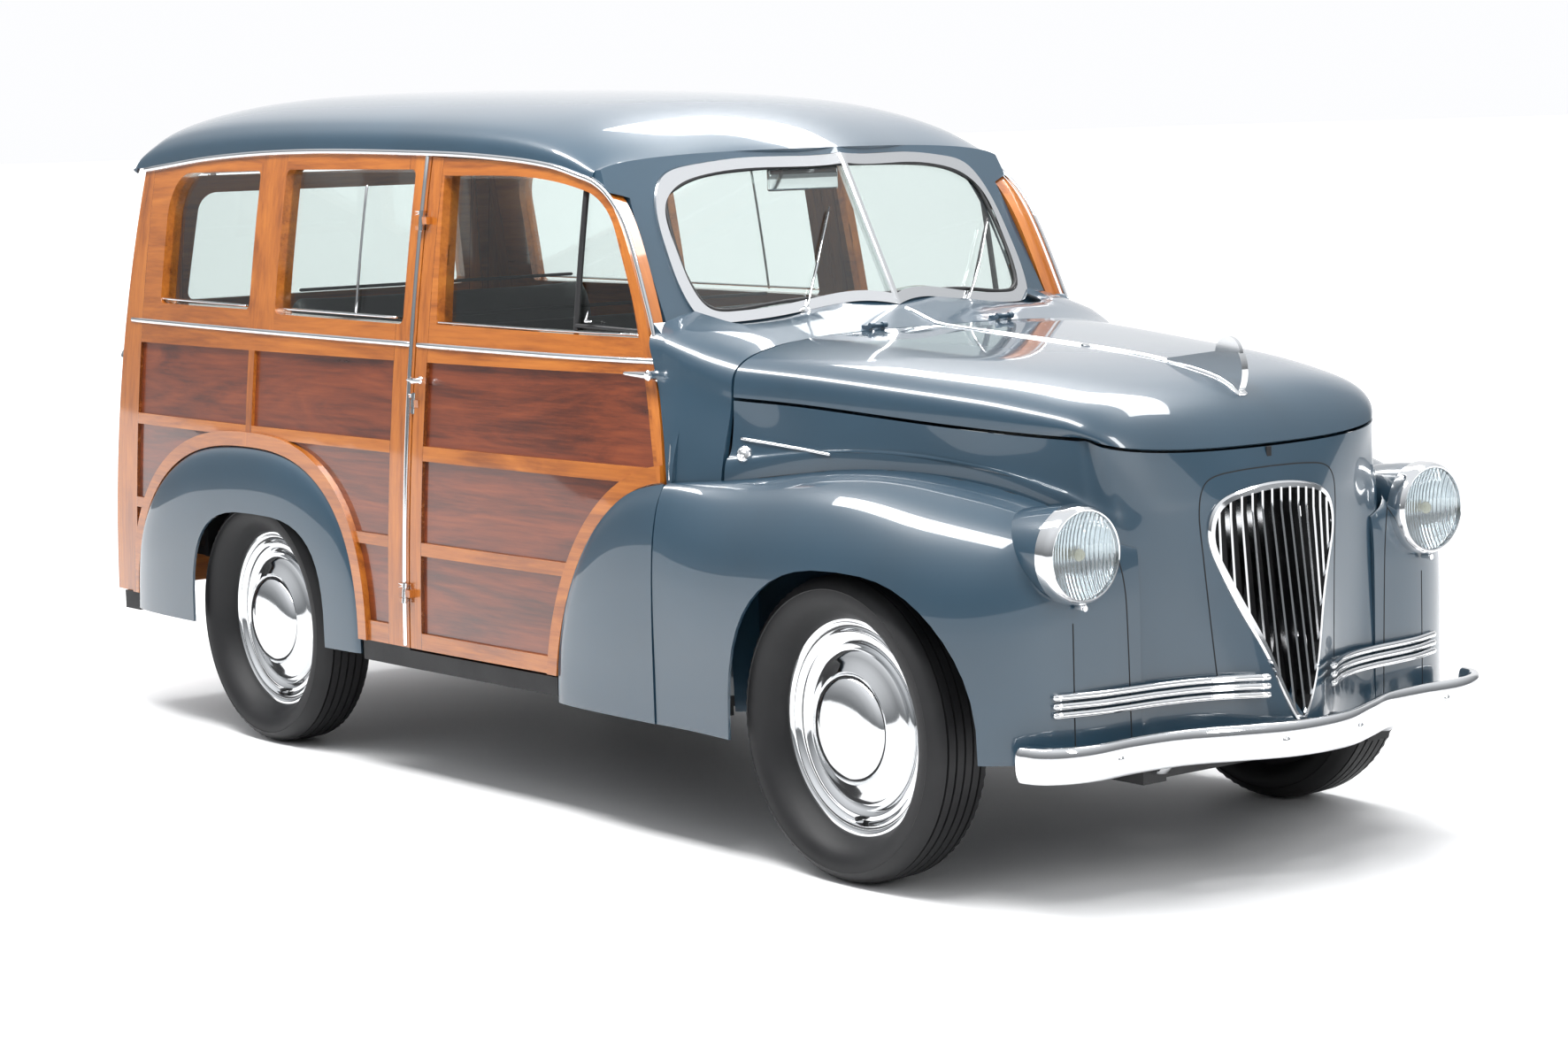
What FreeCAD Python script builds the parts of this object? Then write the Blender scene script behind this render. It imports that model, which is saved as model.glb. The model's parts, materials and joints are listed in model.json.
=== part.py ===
import FreeCAD, Part
import math
import os

V = FreeCAD.Vector

# Driving dimensions, in millimetres.
# X runs forward, Y to the left and Z up, from the floor under the middle of the car.
half_length = 2005.0
rear_face_x = -1995.0
wheelbase = 2420.0
front_axle_x = 1270.0
rear_axle_x = front_axle_x - wheelbase
wheel_track = 1250.0
fender_half_width = 748.0
running_gap = 6.0
seat_gap = 0.3

# The side of the body, a surface that bows in plan and leans in towards the roof.
side_half_width = 736.0
side_lean = 0.018
side_bow_radius = 7418.0
plan_bow_radius = 26000.0
widest_x = -430.0
side_foot_z = 300.0
pinch_start_x = 100.0
pinch_reach = 6500.0
pinch_low_z = 800.0
pinch_high_z = 1150.0
wall_thickness = 45.0

# Heights and stations of the wooden body.
wood_bottom_z = 338.0
pillar_x = -350.0
rear_corner_x = -1985.0
rear_crown = 10.0
rear_rake = 73.0
rear_top_z = 1516.0
frame_width = 50.0
panel_recess = 9.0

# Roof. The wood runs up behind its lip.
roof_seat_rise = 8.0
roof_skin = 24.0
windshield_slope = 0.57
windshield_sweep = 0.224
windshield_foot = (654.0, 1182.0)

# Gearbox and the tunnel that covers it.
gearbox_tail_x = 520.0
gearbox_half_width = 66.0
tunnel_half_width = 80.0
tunnel_top_z = 440.0
tunnel_wall = 14.0

# Wheels and tyres.
tyre_radius = 325.0
tyre_half_width = 80.0
bead_radius = 229.0
hub_radius = 18.0
hub_play = 0.05
king_pin_y = 545.0
king_pin_radius = 11.0
ear_radius = 26.0

# Sheet metal.
fender_skin = 9.0
nose_skin = 10.0
hood_skin = 14.0
glass_thickness = 5.0


def cylinder(radius, length, start, axis):
    """A round bar from a start point along an axis."""
    return Part.makeCylinder(radius, length, start, axis)


def box(low, high):
    """A block between its lowest and highest corners."""
    return Part.makeBox(high[0] - low[0], high[1] - low[1], high[2] - low[2], V(*low))


def mirrored(shape):
    """The same piece on the other side of the car."""
    return shape.mirror(V(0, 0, 0), V(0, 1, 0))


def both(shape):
    """A piece and its twin, as one compound."""
    return Part.makeCompound([shape, mirrored(shape)])


def fuse(shapes):
    """Join solids that touch or overlap into one clean solid."""
    joined = shapes[0].fuse(shapes[1:]) if len(shapes) > 1 else shapes[0]
    return joined.removeSplitter()


def in_side_view(a, b):
    return V(a, 0, b)


def in_front_view(a, b):
    return V(0, a, b)


def in_plan(a, b):
    return V(a, b, 0)


def outline(place, start, *legs):
    """A flat face. A leg of one point is a line, of two an arc, of more a smooth curve."""
    edges = []
    last = place(*start)
    for leg in legs:
        points = [place(*point) for point in leg]
        if len(points) == 1:
            edges.append(Part.makeLine(last, points[0]))
        elif len(points) == 2:
            edges.append(Part.Arc(last, points[0], points[1]).toShape())
        else:
            curve = Part.BSplineCurve()
            curve.interpolate([last] + points)
            edges.append(curve.toShape())
        last = points[-1]
    first = place(*start)
    if last.sub(first).Length > 1e-6:
        edges.append(Part.makeLine(last, first))
    return Part.Face(Part.Wire(edges))


def rounded(place, corners):
    """A flat face from corners (a, b, radius), each corner rounded by its radius."""
    points = [V(a, b, 0) for a, b, radius in corners]
    edges = []
    ends = []
    for i, (a, b, radius) in enumerate(corners):
        before = points[i - 1].sub(points[i])
        after = points[(i + 1) % len(points)].sub(points[i])
        if radius <= 0:
            ends.append((points[i], None, points[i]))
            continue
        before.normalize()
        after.normalize()
        half = before.getAngle(after) / 2
        reach = radius / math.tan(half)
        middle = before.add(after)
        middle.normalize()
        centre = points[i].add(middle * (radius / math.sin(half)))
        start, end = points[i].add(before * reach), points[i].add(after * reach)
        ends.append((start, centre.sub(middle * radius), end))

    def to_space(point):
        return place(point.x, point.y)

    for i, (enter, top, leave) in enumerate(ends):
        if top is not None:
            edges.append(Part.Arc(to_space(enter), to_space(top), to_space(leave)).toShape())
        following = ends[(i + 1) % len(ends)][0]
        if following.sub(leave).Length > 1e-6:
            edges.append(Part.makeLine(to_space(leave), to_space(following)))
    return Part.Face(Part.Wire(edges))


def across(face, low=-900.0, high=0.0):
    """Extrude a side-view face across the car."""
    return face.translated(V(0, low, 0)).extrude(V(0, high - low, 0))


def along(face, low, high):
    """Extrude a front-view face along the car."""
    return face.translated(V(low, 0, 0)).extrude(V(high - low, 0, 0))


def upright(face, low, high):
    """Extrude a plan-view face upwards."""
    return face.translated(V(0, 0, low)).extrude(V(0, 0, high - low))


def smooth_face(points):
    """A smooth face through an evenly spaced grid of points."""
    surface = Part.BSplineSurface()
    surface.interpolate(points)
    return surface.toShape()


def inner_points(points, depth):
    """The grid moved by a depth along its normals, away from the side they point to."""
    rows = len(points)
    columns = len(points[0])
    moved = []
    for i in range(rows):
        row = []
        for j in range(columns):
            along_row = points[min(i + 1, rows - 1)][j].sub(points[max(i - 1, 0)][j])
            along_column = points[i][min(j + 1, columns - 1)].sub(points[i][max(j - 1, 0)])
            normal = along_row.cross(along_column)
            normal.normalize()
            row.append(points[i][j].sub(normal * depth))
        moved.append(row)
    return moved


def smooth_curve(points, closed=False):
    """A smooth curve through a row of points."""
    curve = Part.BSplineCurve()
    curve.interpolate(Points=points, PeriodicFlag=closed)
    return curve


def curve_through(points, closed=False):
    """The smooth curve through a row of points, as an edge."""
    return smooth_curve(points, closed).toShape()


def point_at(curve, measure, value):
    """The point of a curve where a measure that grows along it reaches a value."""
    low = curve.FirstParameter
    high = curve.LastParameter
    for step in range(40):
        middle = (low + high) / 2
        if measure(curve.value(middle)) < value:
            low = middle
        else:
            high = middle
    return curve.value(low)


def strip(one, other):
    """Faces between two chains of edges."""
    return [Part.makeRuledSurface(a, b) for a, b in zip(one, other)]


def pressing(points, inside):
    """A pressed panel lofted between the rows of its outer and inner grids, smooth outside."""
    outer = []
    for row in points:
        curve = smooth_curve(row)
        knots = curve.getKnots()
        outer.append([curve.toShape(a, b) for a, b in zip(knots, knots[1:])])
    inner = [[Part.makeLine(a, b) for a, b in zip(row, row[1:])] for row in inside]
    faces = strip(outer[0], inner[0]) + strip(outer[-1], inner[-1])
    for rows in (outer, inner):
        for one, other in zip(rows, rows[1:]):
            faces += strip(one, other)
    for end in (0, -1):
        for i in range(len(points) - 1):
            above = Part.makeLine(points[i][end], points[i + 1][end])
            below = Part.makeLine(inside[i][end], inside[i + 1][end])
            faces.append(Part.makeRuledSurface(above, below))
    shell = Part.makeShell(faces)
    shell.sewShape()
    solid = Part.makeSolid(shell)
    if solid.Volume < 0:
        solid.reverse()
    return solid


def smoothstep(value, low, high):
    t = min(max((value - low) / (high - low), 0.0), 1.0)
    return t * t * (3 - 2 * t)


def side_y(x, z):
    """Half width of the wooden body at a station and height."""
    height = z - side_foot_z
    pinch = max(x - pinch_start_x, 0.0) ** 2 / pinch_reach * smoothstep(z, pinch_low_z, pinch_high_z)
    bow = (x - widest_x) ** 2 / (2 * plan_bow_radius)
    return side_half_width - side_lean * height - height ** 2 / (2 * side_bow_radius) - bow - pinch


def spaced(low, high, count):
    return [low + (high - low) * i / (count - 1) for i in range(count)]


def side_slab(depth_from, depth_to, x_low=-2060.0, x_high=760.0, z_low=230.0, z_high=1600.0):
    """The right wall of the body between two depths below its outer surface."""
    x_count = 7 if x_high < pinch_start_x else 12
    grid = [[V(x, -side_y(x, z) + depth_from, z) for z in spaced(z_low, z_high, 8)]
            for x in spaced(x_low, x_high, x_count)]
    return smooth_face(grid).extrude(V(0, depth_to - depth_from, 0))


# The line of the drip rail over the side windows, and its run down the windshield pillar.
rail_line = [(-1912, 1516), (-1448, 1546), (-954, 1555), (-373, 1543), (-71, 1529), (155, 1508), (305, 1476)]
pillar_line = [(305, 1476), (365, 1446), (423, 1396), (459, 1346), (496, 1277), (550, 1160), (590, 1061),
               (640, 940), (683, 808)]


def rail_z(x):
    """Height of the drip rail at a station."""
    curve = smooth_curve([V(px, 0, pz) for px, pz in rail_line])
    x = min(max(x, rail_line[0][0]), rail_line[-1][0])
    return point_at(curve, lambda point: point.x, x).z


def lowered(line, drop, shift=0.0):
    """A line of points moved down and back, as a seam runs under the one above."""
    return [(x - shift, z - drop) for x, z in line]


def superellipse_arc(centre, back, ahead, height, power, count=13):
    """An arch over a wheel from its rear foot to its front foot."""
    points = []
    for i in range(count):
        angle = math.pi * (1 - i / (count - 1))
        reach = ahead if math.cos(angle) > 0 else back
        x = centre[0] + math.copysign(reach * abs(math.cos(angle)) ** (2 / power), math.cos(angle))
        z = centre[1] + height * abs(math.sin(angle)) ** (2 / power)
        points.append((x, z))
    return points


def arch_face(points, foot_z):
    """The flat opening under an arch, closed down to a foot height."""
    first = (points[0][0], foot_z)
    last = (points[-1][0], foot_z)
    return outline(in_side_view, first, [points[0]], points[1:], [last])


# Wheel arches in side view: centre, reach behind and ahead, height and squareness.
rear_fender_arch = dict(centre=(rear_axle_x - 10, 300.0), back=672.0, ahead=578.0, height=485.0, power=2.5)
rear_opening_arch = dict(centre=(rear_axle_x + 60, 300.0), back=346.0, ahead=347.0, height=316.0, power=3.1)
front_opening_arch = dict(centre=(front_axle_x + 60, 300.0), back=370.0, ahead=366.0, height=367.0, power=2.6)
arch_trim_width = 38.0
arch_trim_proud = 8.0
skirt_arch = dict(centre=(700.0, 300.0), back=412.0, height=506.0)


def widened(arch, margin):
    """An arch grown evenly by a margin."""
    grown = dict(arch)
    grown["back"] += margin
    grown["height"] += margin
    if "ahead" in grown:
        grown["ahead"] += margin
    return grown


def window_face(x_rear, x_front, z_low_rear, z_low_front, z_high_rear, z_high_front, radii):
    """A window opening from its corners, given from the low rear corner forwards and up."""
    corners = [(x_rear, z_low_rear), (x_front, z_low_front), (x_front, z_high_front), (x_rear, z_high_rear)]
    return rounded(in_side_view, [(x, z, r) for (x, z), r in zip(corners, radii)])


quarter_window_rear = (-1742.0, -1205.0, 1146.0, 1142.0, 1500.0, 1504.0, (18.0, 18.0, 18.0, 120.0))
quarter_window_front = (-1062.0, -415.0, 1134.0, 1125.0, 1505.0, 1500.0, (18.0, 18.0, 18.0, 18.0))
quarter_windows = [quarter_window_rear, quarter_window_front]


def quarter_outline():
    """Side view of the fixed wooden quarter, from the rear corner to the door pillar."""
    top = lowered(rail_line[:4], -roof_seat_rise)
    return outline(
        in_side_view, (rear_corner_x, wood_bottom_z),
        [(rear_corner_x + 8, 900.0), top[0]],
        top[1:3] + [(pillar_x, rail_z(pillar_x) + roof_seat_rise)],
        [(pillar_x, wood_bottom_z)])


# Rails of the quarter: heights of the panel openings between the frame members.
belt_rail_low_z = 1036.0
upper_rail = (810.0, 840.0)
lower_rail = (578.0, 606.0)
rear_post_front_x = -1853.0
middle_post = (-1192.0, -1160.0)
front_post_rear_x = -446.0


def quarter_panel_faces():
    """Side views of the openings that hold the dark panels of the quarter."""
    high = belt_rail_low_z
    upper_low = upper_rail[1]
    rear_upper = [(rear_post_front_x, upper_low), (middle_post[0], upper_low),
                  (middle_post[0], high), (rear_post_front_x, high)]
    front_upper = [(middle_post[1], upper_low), (front_post_rear_x, upper_low),
                   (front_post_rear_x, high), (middle_post[1], high)]
    middle = [(rear_post_front_x, lower_rail[1]), (front_post_rear_x, lower_rail[1]),
              (front_post_rear_x, upper_rail[0]), (rear_post_front_x, upper_rail[0])]
    low = [(rear_post_front_x, wood_bottom_z + frame_width), (front_post_rear_x, wood_bottom_z + frame_width),
           (front_post_rear_x, lower_rail[0]), (rear_post_front_x, lower_rail[0])]
    loops = (rear_upper, front_upper, middle, low)
    return [rounded(in_side_view, [(x, z, 0) for x, z in loop]) for loop in loops]


def arch_prism(arch, foot_z=100.0, low=-900.0, high=0.0):
    return across(arch_face(superellipse_arc(**arch), foot_z), low, high)


def quarter_panel_prism():
    """The openings for the panels, less the trim that runs round the fender."""
    faces = quarter_panel_faces()
    prisms = [across(face) for face in faces]
    trim = arch_prism(widened(rear_fender_arch, arch_trim_width))
    return [prism.cut(trim) for prism in prisms]


def quarter(roof_shell):
    """Wooden frame of the right quarter, with its windows and panel openings cut through."""
    body = side_slab(0, wall_thickness, -2060, -300).common(across(quarter_outline()))
    body = body.cut([arch_prism(rear_fender_arch), roof_shell])
    body = max(body.Solids, key=lambda solid: solid.Volume)
    cuts = [across(window_face(*window)) for window in quarter_windows] + quarter_panel_prism()
    body = body.cut(cuts)
    trim = arch_prism(widened(rear_fender_arch, arch_trim_width)).cut(arch_prism(rear_fender_arch))
    trim = trim.common(side_slab(-arch_trim_proud, panel_recess, -2060, -300))
    keep = box((rear_post_front_x - 60, -900, wood_bottom_z), (pillar_x, 0, 1500))
    return hung_on_pillar(body.fuse(trim.common(keep)))


def quarter_panels():
    """Dark panels that fill the frame, flush with its inner side."""
    slab = side_slab(panel_recess, wall_thickness, -2060, -300)
    pieces = []
    for prism in quarter_panel_prism():
        pieces += slab.common(prism).Solids
    pieces = [piece for piece in pieces if piece.Volume > 1e4]
    return Part.makeCompound(pieces)


def quarter_glass():
    slab = side_slab(wall_thickness / 2, wall_thickness / 2 + glass_thickness, -2060, -300)
    return [slab.common(across(window_face(*window))) for window in quarter_windows]


# Pin hinges: a ring on the moving piece turns on a pin held by two ears on the fixed one.
hinge_pin_radius = 4.0
hinge_play = 0.05
hinge_radius = 7.0
hinge_ring_half = 10.0
hinge_gap = 2.0
hinge_half = 24.0


def hinge_ring(centre, axis):
    """The moving piece's ring, its hole a running fit on the pin."""
    length = 2 * hinge_ring_half
    start = centre.sub(axis * hinge_ring_half)
    ring = cylinder(hinge_radius, length, start, axis)
    return ring, cylinder(hinge_pin_radius + hinge_play, length + 8, start.sub(axis * 4), axis)


def hinge_pin(centre, axis):
    """The fixed piece's pin and its two ears."""
    reach = hinge_half - hinge_ring_half - hinge_gap
    pieces = [cylinder(hinge_pin_radius, 2 * hinge_half, centre.sub(axis * hinge_half), axis)]
    pieces.append(cylinder(hinge_radius, reach, centre.sub(axis * hinge_half), axis))
    pieces.append(cylinder(hinge_radius, reach, centre.add(axis * (hinge_half - reach)), axis))
    return pieces


def hinge_room(centre, axis):
    """Clearance round a whole hinge."""
    return cylinder(hinge_radius + 1, 2 * hinge_half + 4, centre.sub(axis * (hinge_half + 2)), axis)


# The front door. It hangs at its rear edge and carries the tail of the front fender.
door_rear_x = pillar_x + running_gap
door_front_gap = 14.0
door_top_gap = 12.0
skirt_front_x = 692.0


def door_outline(grow=0.0):
    """Side view of the door. Growing it gives the opening that it closes."""
    top = [(x, z + grow) for x, z in lowered(rail_line[4:], door_top_gap)]
    front = [(x + 2 * grow, z) for x, z in lowered(pillar_line[1:], 0.0, door_front_gap)]
    rear = door_rear_x - grow
    rear_top_z = rail_z(pillar_x) - door_top_gap + grow
    foot_z = wood_bottom_z - grow
    return outline(in_side_view, (rear, foot_z), [(rear, rear_top_z)], top + front,
                   [(skirt_front_x - door_front_gap + grow, foot_z)])


door_hinge_x = pillar_x + running_gap / 2
door_hinge_y = 696.0
door_hinge_z = 935.0
door_hinge_lean = 0.1027
door_hinge_heights = (474.0, 935.0, 1377.0)


def door_hinges():
    """Centres of the door's three hinges and the axis that they share."""
    axis = V(0, door_hinge_lean, 1).normalize()
    heights = door_hinge_heights
    centres = [V(door_hinge_x, -door_hinge_y - door_hinge_lean * (door_hinge_z - z), z) for z in heights]
    return centres, axis


def hinge_leaf(centre, reach, low, high):
    """Plate that ties a ring or ear to the wood beside it."""
    depth = side_y(centre.x, centre.z) - 7
    x_low, x_high = sorted((centre.x, centre.x + reach))
    return box((x_low, centre.y - 3, centre.z + low), (x_high, -depth, centre.z + high))


def hung_on_door(frame):
    """The door frame with its three hinge rings."""
    centres, axis = door_hinges()
    frame = frame.cut([hinge_room(centre, axis) for centre in centres])
    holes = []
    pieces = [frame]
    for centre in centres:
        ring, hole = hinge_ring(centre, axis)
        pieces += [ring, hinge_leaf(centre, 26, -hinge_ring_half + 1, hinge_ring_half - 1)]
        holes.append(hole)
    return fuse(pieces).cut(holes)


def hung_on_pillar(frame):
    """The quarter with the pins and ears of the door's hinges."""
    centres, axis = door_hinges()
    frame = frame.cut([hinge_room(centre, axis) for centre in centres])
    pieces = [frame]
    inner = hinge_ring_half + hinge_gap + 1
    for centre in centres:
        pieces += hinge_pin(centre, axis)
        pieces.append(hinge_leaf(centre, -26, inner, hinge_half - 1))
        pieces.append(hinge_leaf(centre, -26, 1 - hinge_half, -inner))
    return fuse(pieces)


def door_window_face():
    """The door glass, whose front edge follows the windshield pillar."""
    return outline(in_side_view, (-262, 1129), [(-283, 1484)],
                   [(0, 1481), (193, 1465), (290, 1446)],
                   [(344, 1426), (398, 1380), (434, 1317), (478, 1226), (520, 1117)])


door_rails = [(798.0, 834.0), (568.0, 600.0)]
door_rear_stile_x = -294.0
door_foot_rail_z = 378.0


def skirt_arc_z(x, margin=0.0):
    """Height of the painted tail of the front fender on the door."""
    (cx, cz), back, height = skirt_arch["centre"], skirt_arch["back"] + margin, skirt_arch["height"] + margin
    share = min(max((cx - x) / back, 0.0), 1.0)
    return cz + height * math.sqrt(1 - share ** 2)


def skirt_points(margin=0.0, count=7):
    (cx, cz) = skirt_arch["centre"]
    back = skirt_arch["back"] + margin
    height = skirt_arch["height"] + margin
    return [(cx - back * math.cos(a), cz + height * math.sin(a))
            for a in [math.pi / 2 * i / (count - 1) for i in range(count)]]


def skirt_face(margin=0.0, foot_z=100.0):
    """Side view of the area under the skirt's arc, up to the fender seam."""
    points = skirt_points(margin)
    return outline(in_side_view, (points[0][0], foot_z), [points[0]], points[1:], [(points[-1][0], foot_z)])


def door_panel_faces():
    """Openings for the dark panels of the door, before the fender arc is taken off."""
    bands = [(door_rails[0][1], belt_rail_low_z, 552.0, 632.0), (door_rails[1][1], door_rails[0][0], 640.0, 640.0),
             (door_foot_rail_z, door_rails[1][0], 640.0, 640.0)]
    faces = []
    for low, high, front_high, front_low in bands:
        faces.append(rounded(in_side_view, [(door_rear_stile_x, low, 0), (front_low, low, 0),
                                            (front_high, high, 0), (door_rear_stile_x, high, 0)]))
    return faces


def door_panel_prisms():
    arc = across(skirt_face(arch_trim_width))
    return [across(face).cut(arc) for face in door_panel_faces()]


def door_frame():
    """Wooden frame of the right door, with the raised trim along the fender's tail."""
    body = side_slab(0, wall_thickness, -420, 760).common(across(door_outline()))
    cuts = [across(door_window_face())] + door_panel_prisms()
    body = body.cut(cuts)
    trim = across(skirt_face(arch_trim_width)).cut(across(skirt_face()))
    trim = trim.common(side_slab(-arch_trim_proud, panel_recess, -420, 760)).common(across(door_outline()))
    return hung_on_door(body.fuse(trim))


def door_panels():
    slab = side_slab(panel_recess, wall_thickness, -420, 760)
    pieces = []
    for prism in door_panel_prisms():
        pieces += slab.common(prism).Solids
    return Part.makeCompound([piece for piece in pieces if piece.Volume > 1e4])


def door_glass():
    slab = side_slab(wall_thickness / 2, wall_thickness / 2 + glass_thickness, -420, 760)
    return slab.common(across(door_window_face()))


def bulge(x, z, share):
    """How far a fender stands off the wood, from 1 inside its outline to 0 at its edge."""
    full = fender_half_width - side_y(x, z)
    return full * math.sqrt(max(1 - share ** 4, 0.0))


def skirt_y(x, z):
    """Half width of the front fender's tail on the door."""
    (cx, cz) = skirt_arch["centre"]
    share = math.hypot((cx - x) / skirt_arch["back"], max(z - cz, 0.0) / skirt_arch["height"])
    return side_y(x, z) + bulge(x, z, min(share, 0.985))


skirt_foot_z = 276.0
skirt_edge_gap = 1.5


def door_skirt():
    """Painted tail of the front fender, carried by the door."""
    columns = []
    start = skirt_arch["centre"][0] - skirt_arch["back"] + skirt_edge_gap
    for share in (0.004, 0.02, 0.06, 0.14, 0.28, 0.46, 0.7, 1.0):
        x = start + (skirt_front_x - start) * share
        high = skirt_arc_z(x, -skirt_edge_gap)
        row = []
        for level in (0.0, 0.4, 0.7, 0.84, 0.92, 0.97, 1.0):
            z = skirt_foot_z + (high - skirt_foot_z) * level
            row.append(V(x, -skirt_y(x, z), z))
        columns.append(row)
    shell = pressing(columns, inner_points(columns, fender_skin))
    shell = shell.cut(side_slab(-seat_gap, 80, -420, 760).common(across(door_outline())))
    return max(shell.Solids, key=lambda solid: solid.Volume)


def rear_fender():
    """Right rear fender, a pressed shell that stands off the wood round the wheel."""
    (cx, cz) = rear_fender_arch["centre"]
    rows = []
    for ring in (0.34, 0.6, 0.8, 0.91, 0.97, 1.0):
        row = []
        for step in range(13):
            angle = math.pi * (1 - step / 12)
            reach = rear_fender_arch["ahead"] if math.cos(angle) > 0 else rear_fender_arch["back"]
            power = rear_fender_arch["power"]
            x = cx + math.copysign(ring * reach * abs(math.cos(angle)) ** (2 / power), math.cos(angle))
            z = cz + ring * rear_fender_arch["height"] * abs(math.sin(angle)) ** (2 / power)
            row.append(V(x, -(side_y(x, z) + bulge(x, z, ring)), z))
        rows.append(row)
    shell = pressing(rows, inner_points(rows, -fender_skin))
    return shell.cut(arch_prism(rear_opening_arch))


# Front fender stations: outer wall x and half width, shoulder height, then the seam on the hood side.
fender_stations = [
    ((700, 745), 520, (700, 684, 806)),
    ((900, 747), 530, (905, 606, 823)),
    ((1100, 748), 540, (1100, 575, 848)),
    ((1290, 748), 550, (1290, 545, 858)),
    ((1460, 744), 555, (1450, 507, 847)),
    ((1590, 728), 560, (1590, 482, 826)),
    ((1700, 678), 565, (1690, 460, 800)),
    ((1772, 590), 570, (1738, 441, 778)),
    ((1803, 490), 575, (1772, 418, 750)),
    ((1812, 400), 580, (1792, 388, 730)),
    ((1816, 345), 585, (1806, 343, 715)),
]
fender_foot_z = 276.0
nose_foot_z = 304.0
fender_power = 2.3


def front_fender_grid(inset=0.0):
    """Rows over the fender, from the foot of its wall up and over to the seam beside the hood."""
    rows = []
    walls = [V(wx, wy, 0) for (wx, wy), shoulder, seam in fender_stations]
    for i, ((wx, wy), shoulder, (sx, sy, sz)) in enumerate(fender_stations):
        run = walls[min(i + 1, len(walls) - 1)].sub(walls[max(i - 1, 0)])
        inward = V(run.y, -run.x, 0).normalize() * inset
        foot = fender_foot_z if wx < front_axle_x else nose_foot_z
        wx, wy = wx + inward.x, wy + inward.y
        sz -= inset
        row = []
        for z in (foot, (foot + shoulder) / 2, shoulder):
            row.append(V(wx, -wy, z))
        for degrees in (20, 38, 54, 68, 80, 90):
            angle = math.radians(degrees)
            rise = math.sin(angle) ** (2 / fender_power)
            run = 1 - math.cos(angle) ** (2 / fender_power)
            row.append(V(wx + (sx - wx) * run, -(wy + (sy - wy) * run), shoulder + (sz - shoulder) * rise))
        rows.append(row)
    return rows


lamp_centre = (1800.0, 508.0, 719.0)
lamp_radius = 100.0


def lamp_pod():
    """Bullet-shaped housing that carries the headlamp out of the fender."""
    x, y, z = lamp_centre
    profile = outline(in_side_view, (x - 255, z), [(x - 245, z + 30)], [(x - 190, z + 66)], [(x - 100, z + 88)],
                      [(x - 9, z + 94)], [(x - 9, z + 88 - seat_gap)], [(x, z + 88 - seat_gap)], [(x, z)])
    return profile.revolve(V(x, 0, z), V(1, 0, 0), 360).translated(V(0, -y, 0))


def front_fender(nose):
    """Right front fender with its headlamp pod, open to the wheel and seated against the nose."""
    x, y, z = lamp_centre
    shell = pressing(front_fender_grid(), front_fender_grid(fender_skin))
    shell = shell.cut([arch_prism(front_opening_arch, 100.0, -900.0, -600.0), nose,
                       cylinder(lamp_radius + 1, 200, V(x - 9, -y, z), V(1, 0, 0))])
    shell = max(shell.Solids, key=lambda solid: solid.Volume)
    return shell.fuse(lamp_pod().cut(nose)).removeSplitter()


# Hood stations: edge x, half width and height, centre x and height, squareness of the section.
hood_stations = [
    (822, 600, 994, 822, 1117, 3.5),
    (1030, 567, 985, 1034, 1103, 3.4),
    (1252, 530, 969, 1265, 1087, 3.2),
    (1450, 496, 955, 1490, 1069, 3.0),
    (1590, 468, 947, 1645, 1046, 2.8),
    (1670, 447, 943, 1738, 1020, 2.7),
    (1706, 432, 941, 1792, 978, 2.6),
    (1724, 418, 939, 1822, 937, 2.5),
    (1735, 405, 938, 1840, 902, 2.4),
]
hood_turn_x = 1645.0
hood_angles = (-90, -80, -68, -54, -38, -20, 0, 20, 38, 54, 68, 80, 90)


def hood_section(station, drop=0.0, inset=0.0):
    """One cross-section of the hood, from its right edge over the crown to its left edge."""
    xe, ye, ze, xc, zc, power = station
    facing = min(max((xc - hood_turn_x) / (hood_stations[-1][3] - hood_turn_x), 0.0), 1.0)
    xe, xc = xe - inset * facing, xc - inset * facing
    zc -= inset * (1 - facing)
    ye -= inset
    row = []
    for degrees in hood_angles:
        angle = math.radians(degrees)
        y = math.copysign(abs(math.sin(angle)) ** (2 / power), degrees) * ye
        rise = math.cos(angle) ** (2 / power) if abs(degrees) < 90 else 0.0
        row.append(V(xe + (xc - xe) * rise, y, ze + (zc - ze) * rise - drop))
    return row


hood_hinges = [V(824, y, 1127) for y in (-190, 190)]


def hood():
    """Opening hood, one pressing from the scuttle to the nose, with its hinge rings."""
    outside = [hood_section(station) for station in hood_stations]
    shell = pressing(outside, [hood_section(station, 0.0, hood_skin) for station in hood_stations])
    pieces = [shell]
    holes = []
    for centre in hood_hinges:
        ring, hole = hinge_ring(centre, V(0, 1, 0))
        plate = box((824, centre.y - 9, 1107), (852, centre.y + 9, 1124))
        pieces += [ring, plate.common(along(hood_under_face(), 800, 900))]
        holes.append(hole)
    return fuse(pieces).cut(holes)


def hood_under_face():
    """Front view of the space that the hood's rear edge and its hinge plates fill."""
    return rounded(in_front_view, [(-400, 1104, 0), (400, 1104, 0), (400, 1122, 0), (-400, 1122, 0)])


nose_top_drop = 7.0
# Nose wall stations after the hood's side: top, waist and foot, each x, half width and height.
nose_side_waist = [(905, 606, 823), (1100, 575, 848), (1290, 545, 858), (1450, 507, 847), (1590, 482, 826),
                   (1685, 460, 800), (1722, 443, 785), (1748, 428, 768), (1765, 412, 755)]
nose_front_angles = (-80, -68, -54, -38, -20, 0)
nose_front_waist = [(1795, 372, 740), (1808, 318, 735), (1830, 240, 745), (1850, 165, 755), (1868, 85, 765),
                    (1874, 0, 770)]
nose_front_foot = [(1812, 352), (1820, 300), (1838, 225), (1870, 155), (1918, 80), (1940, 0)]


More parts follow.
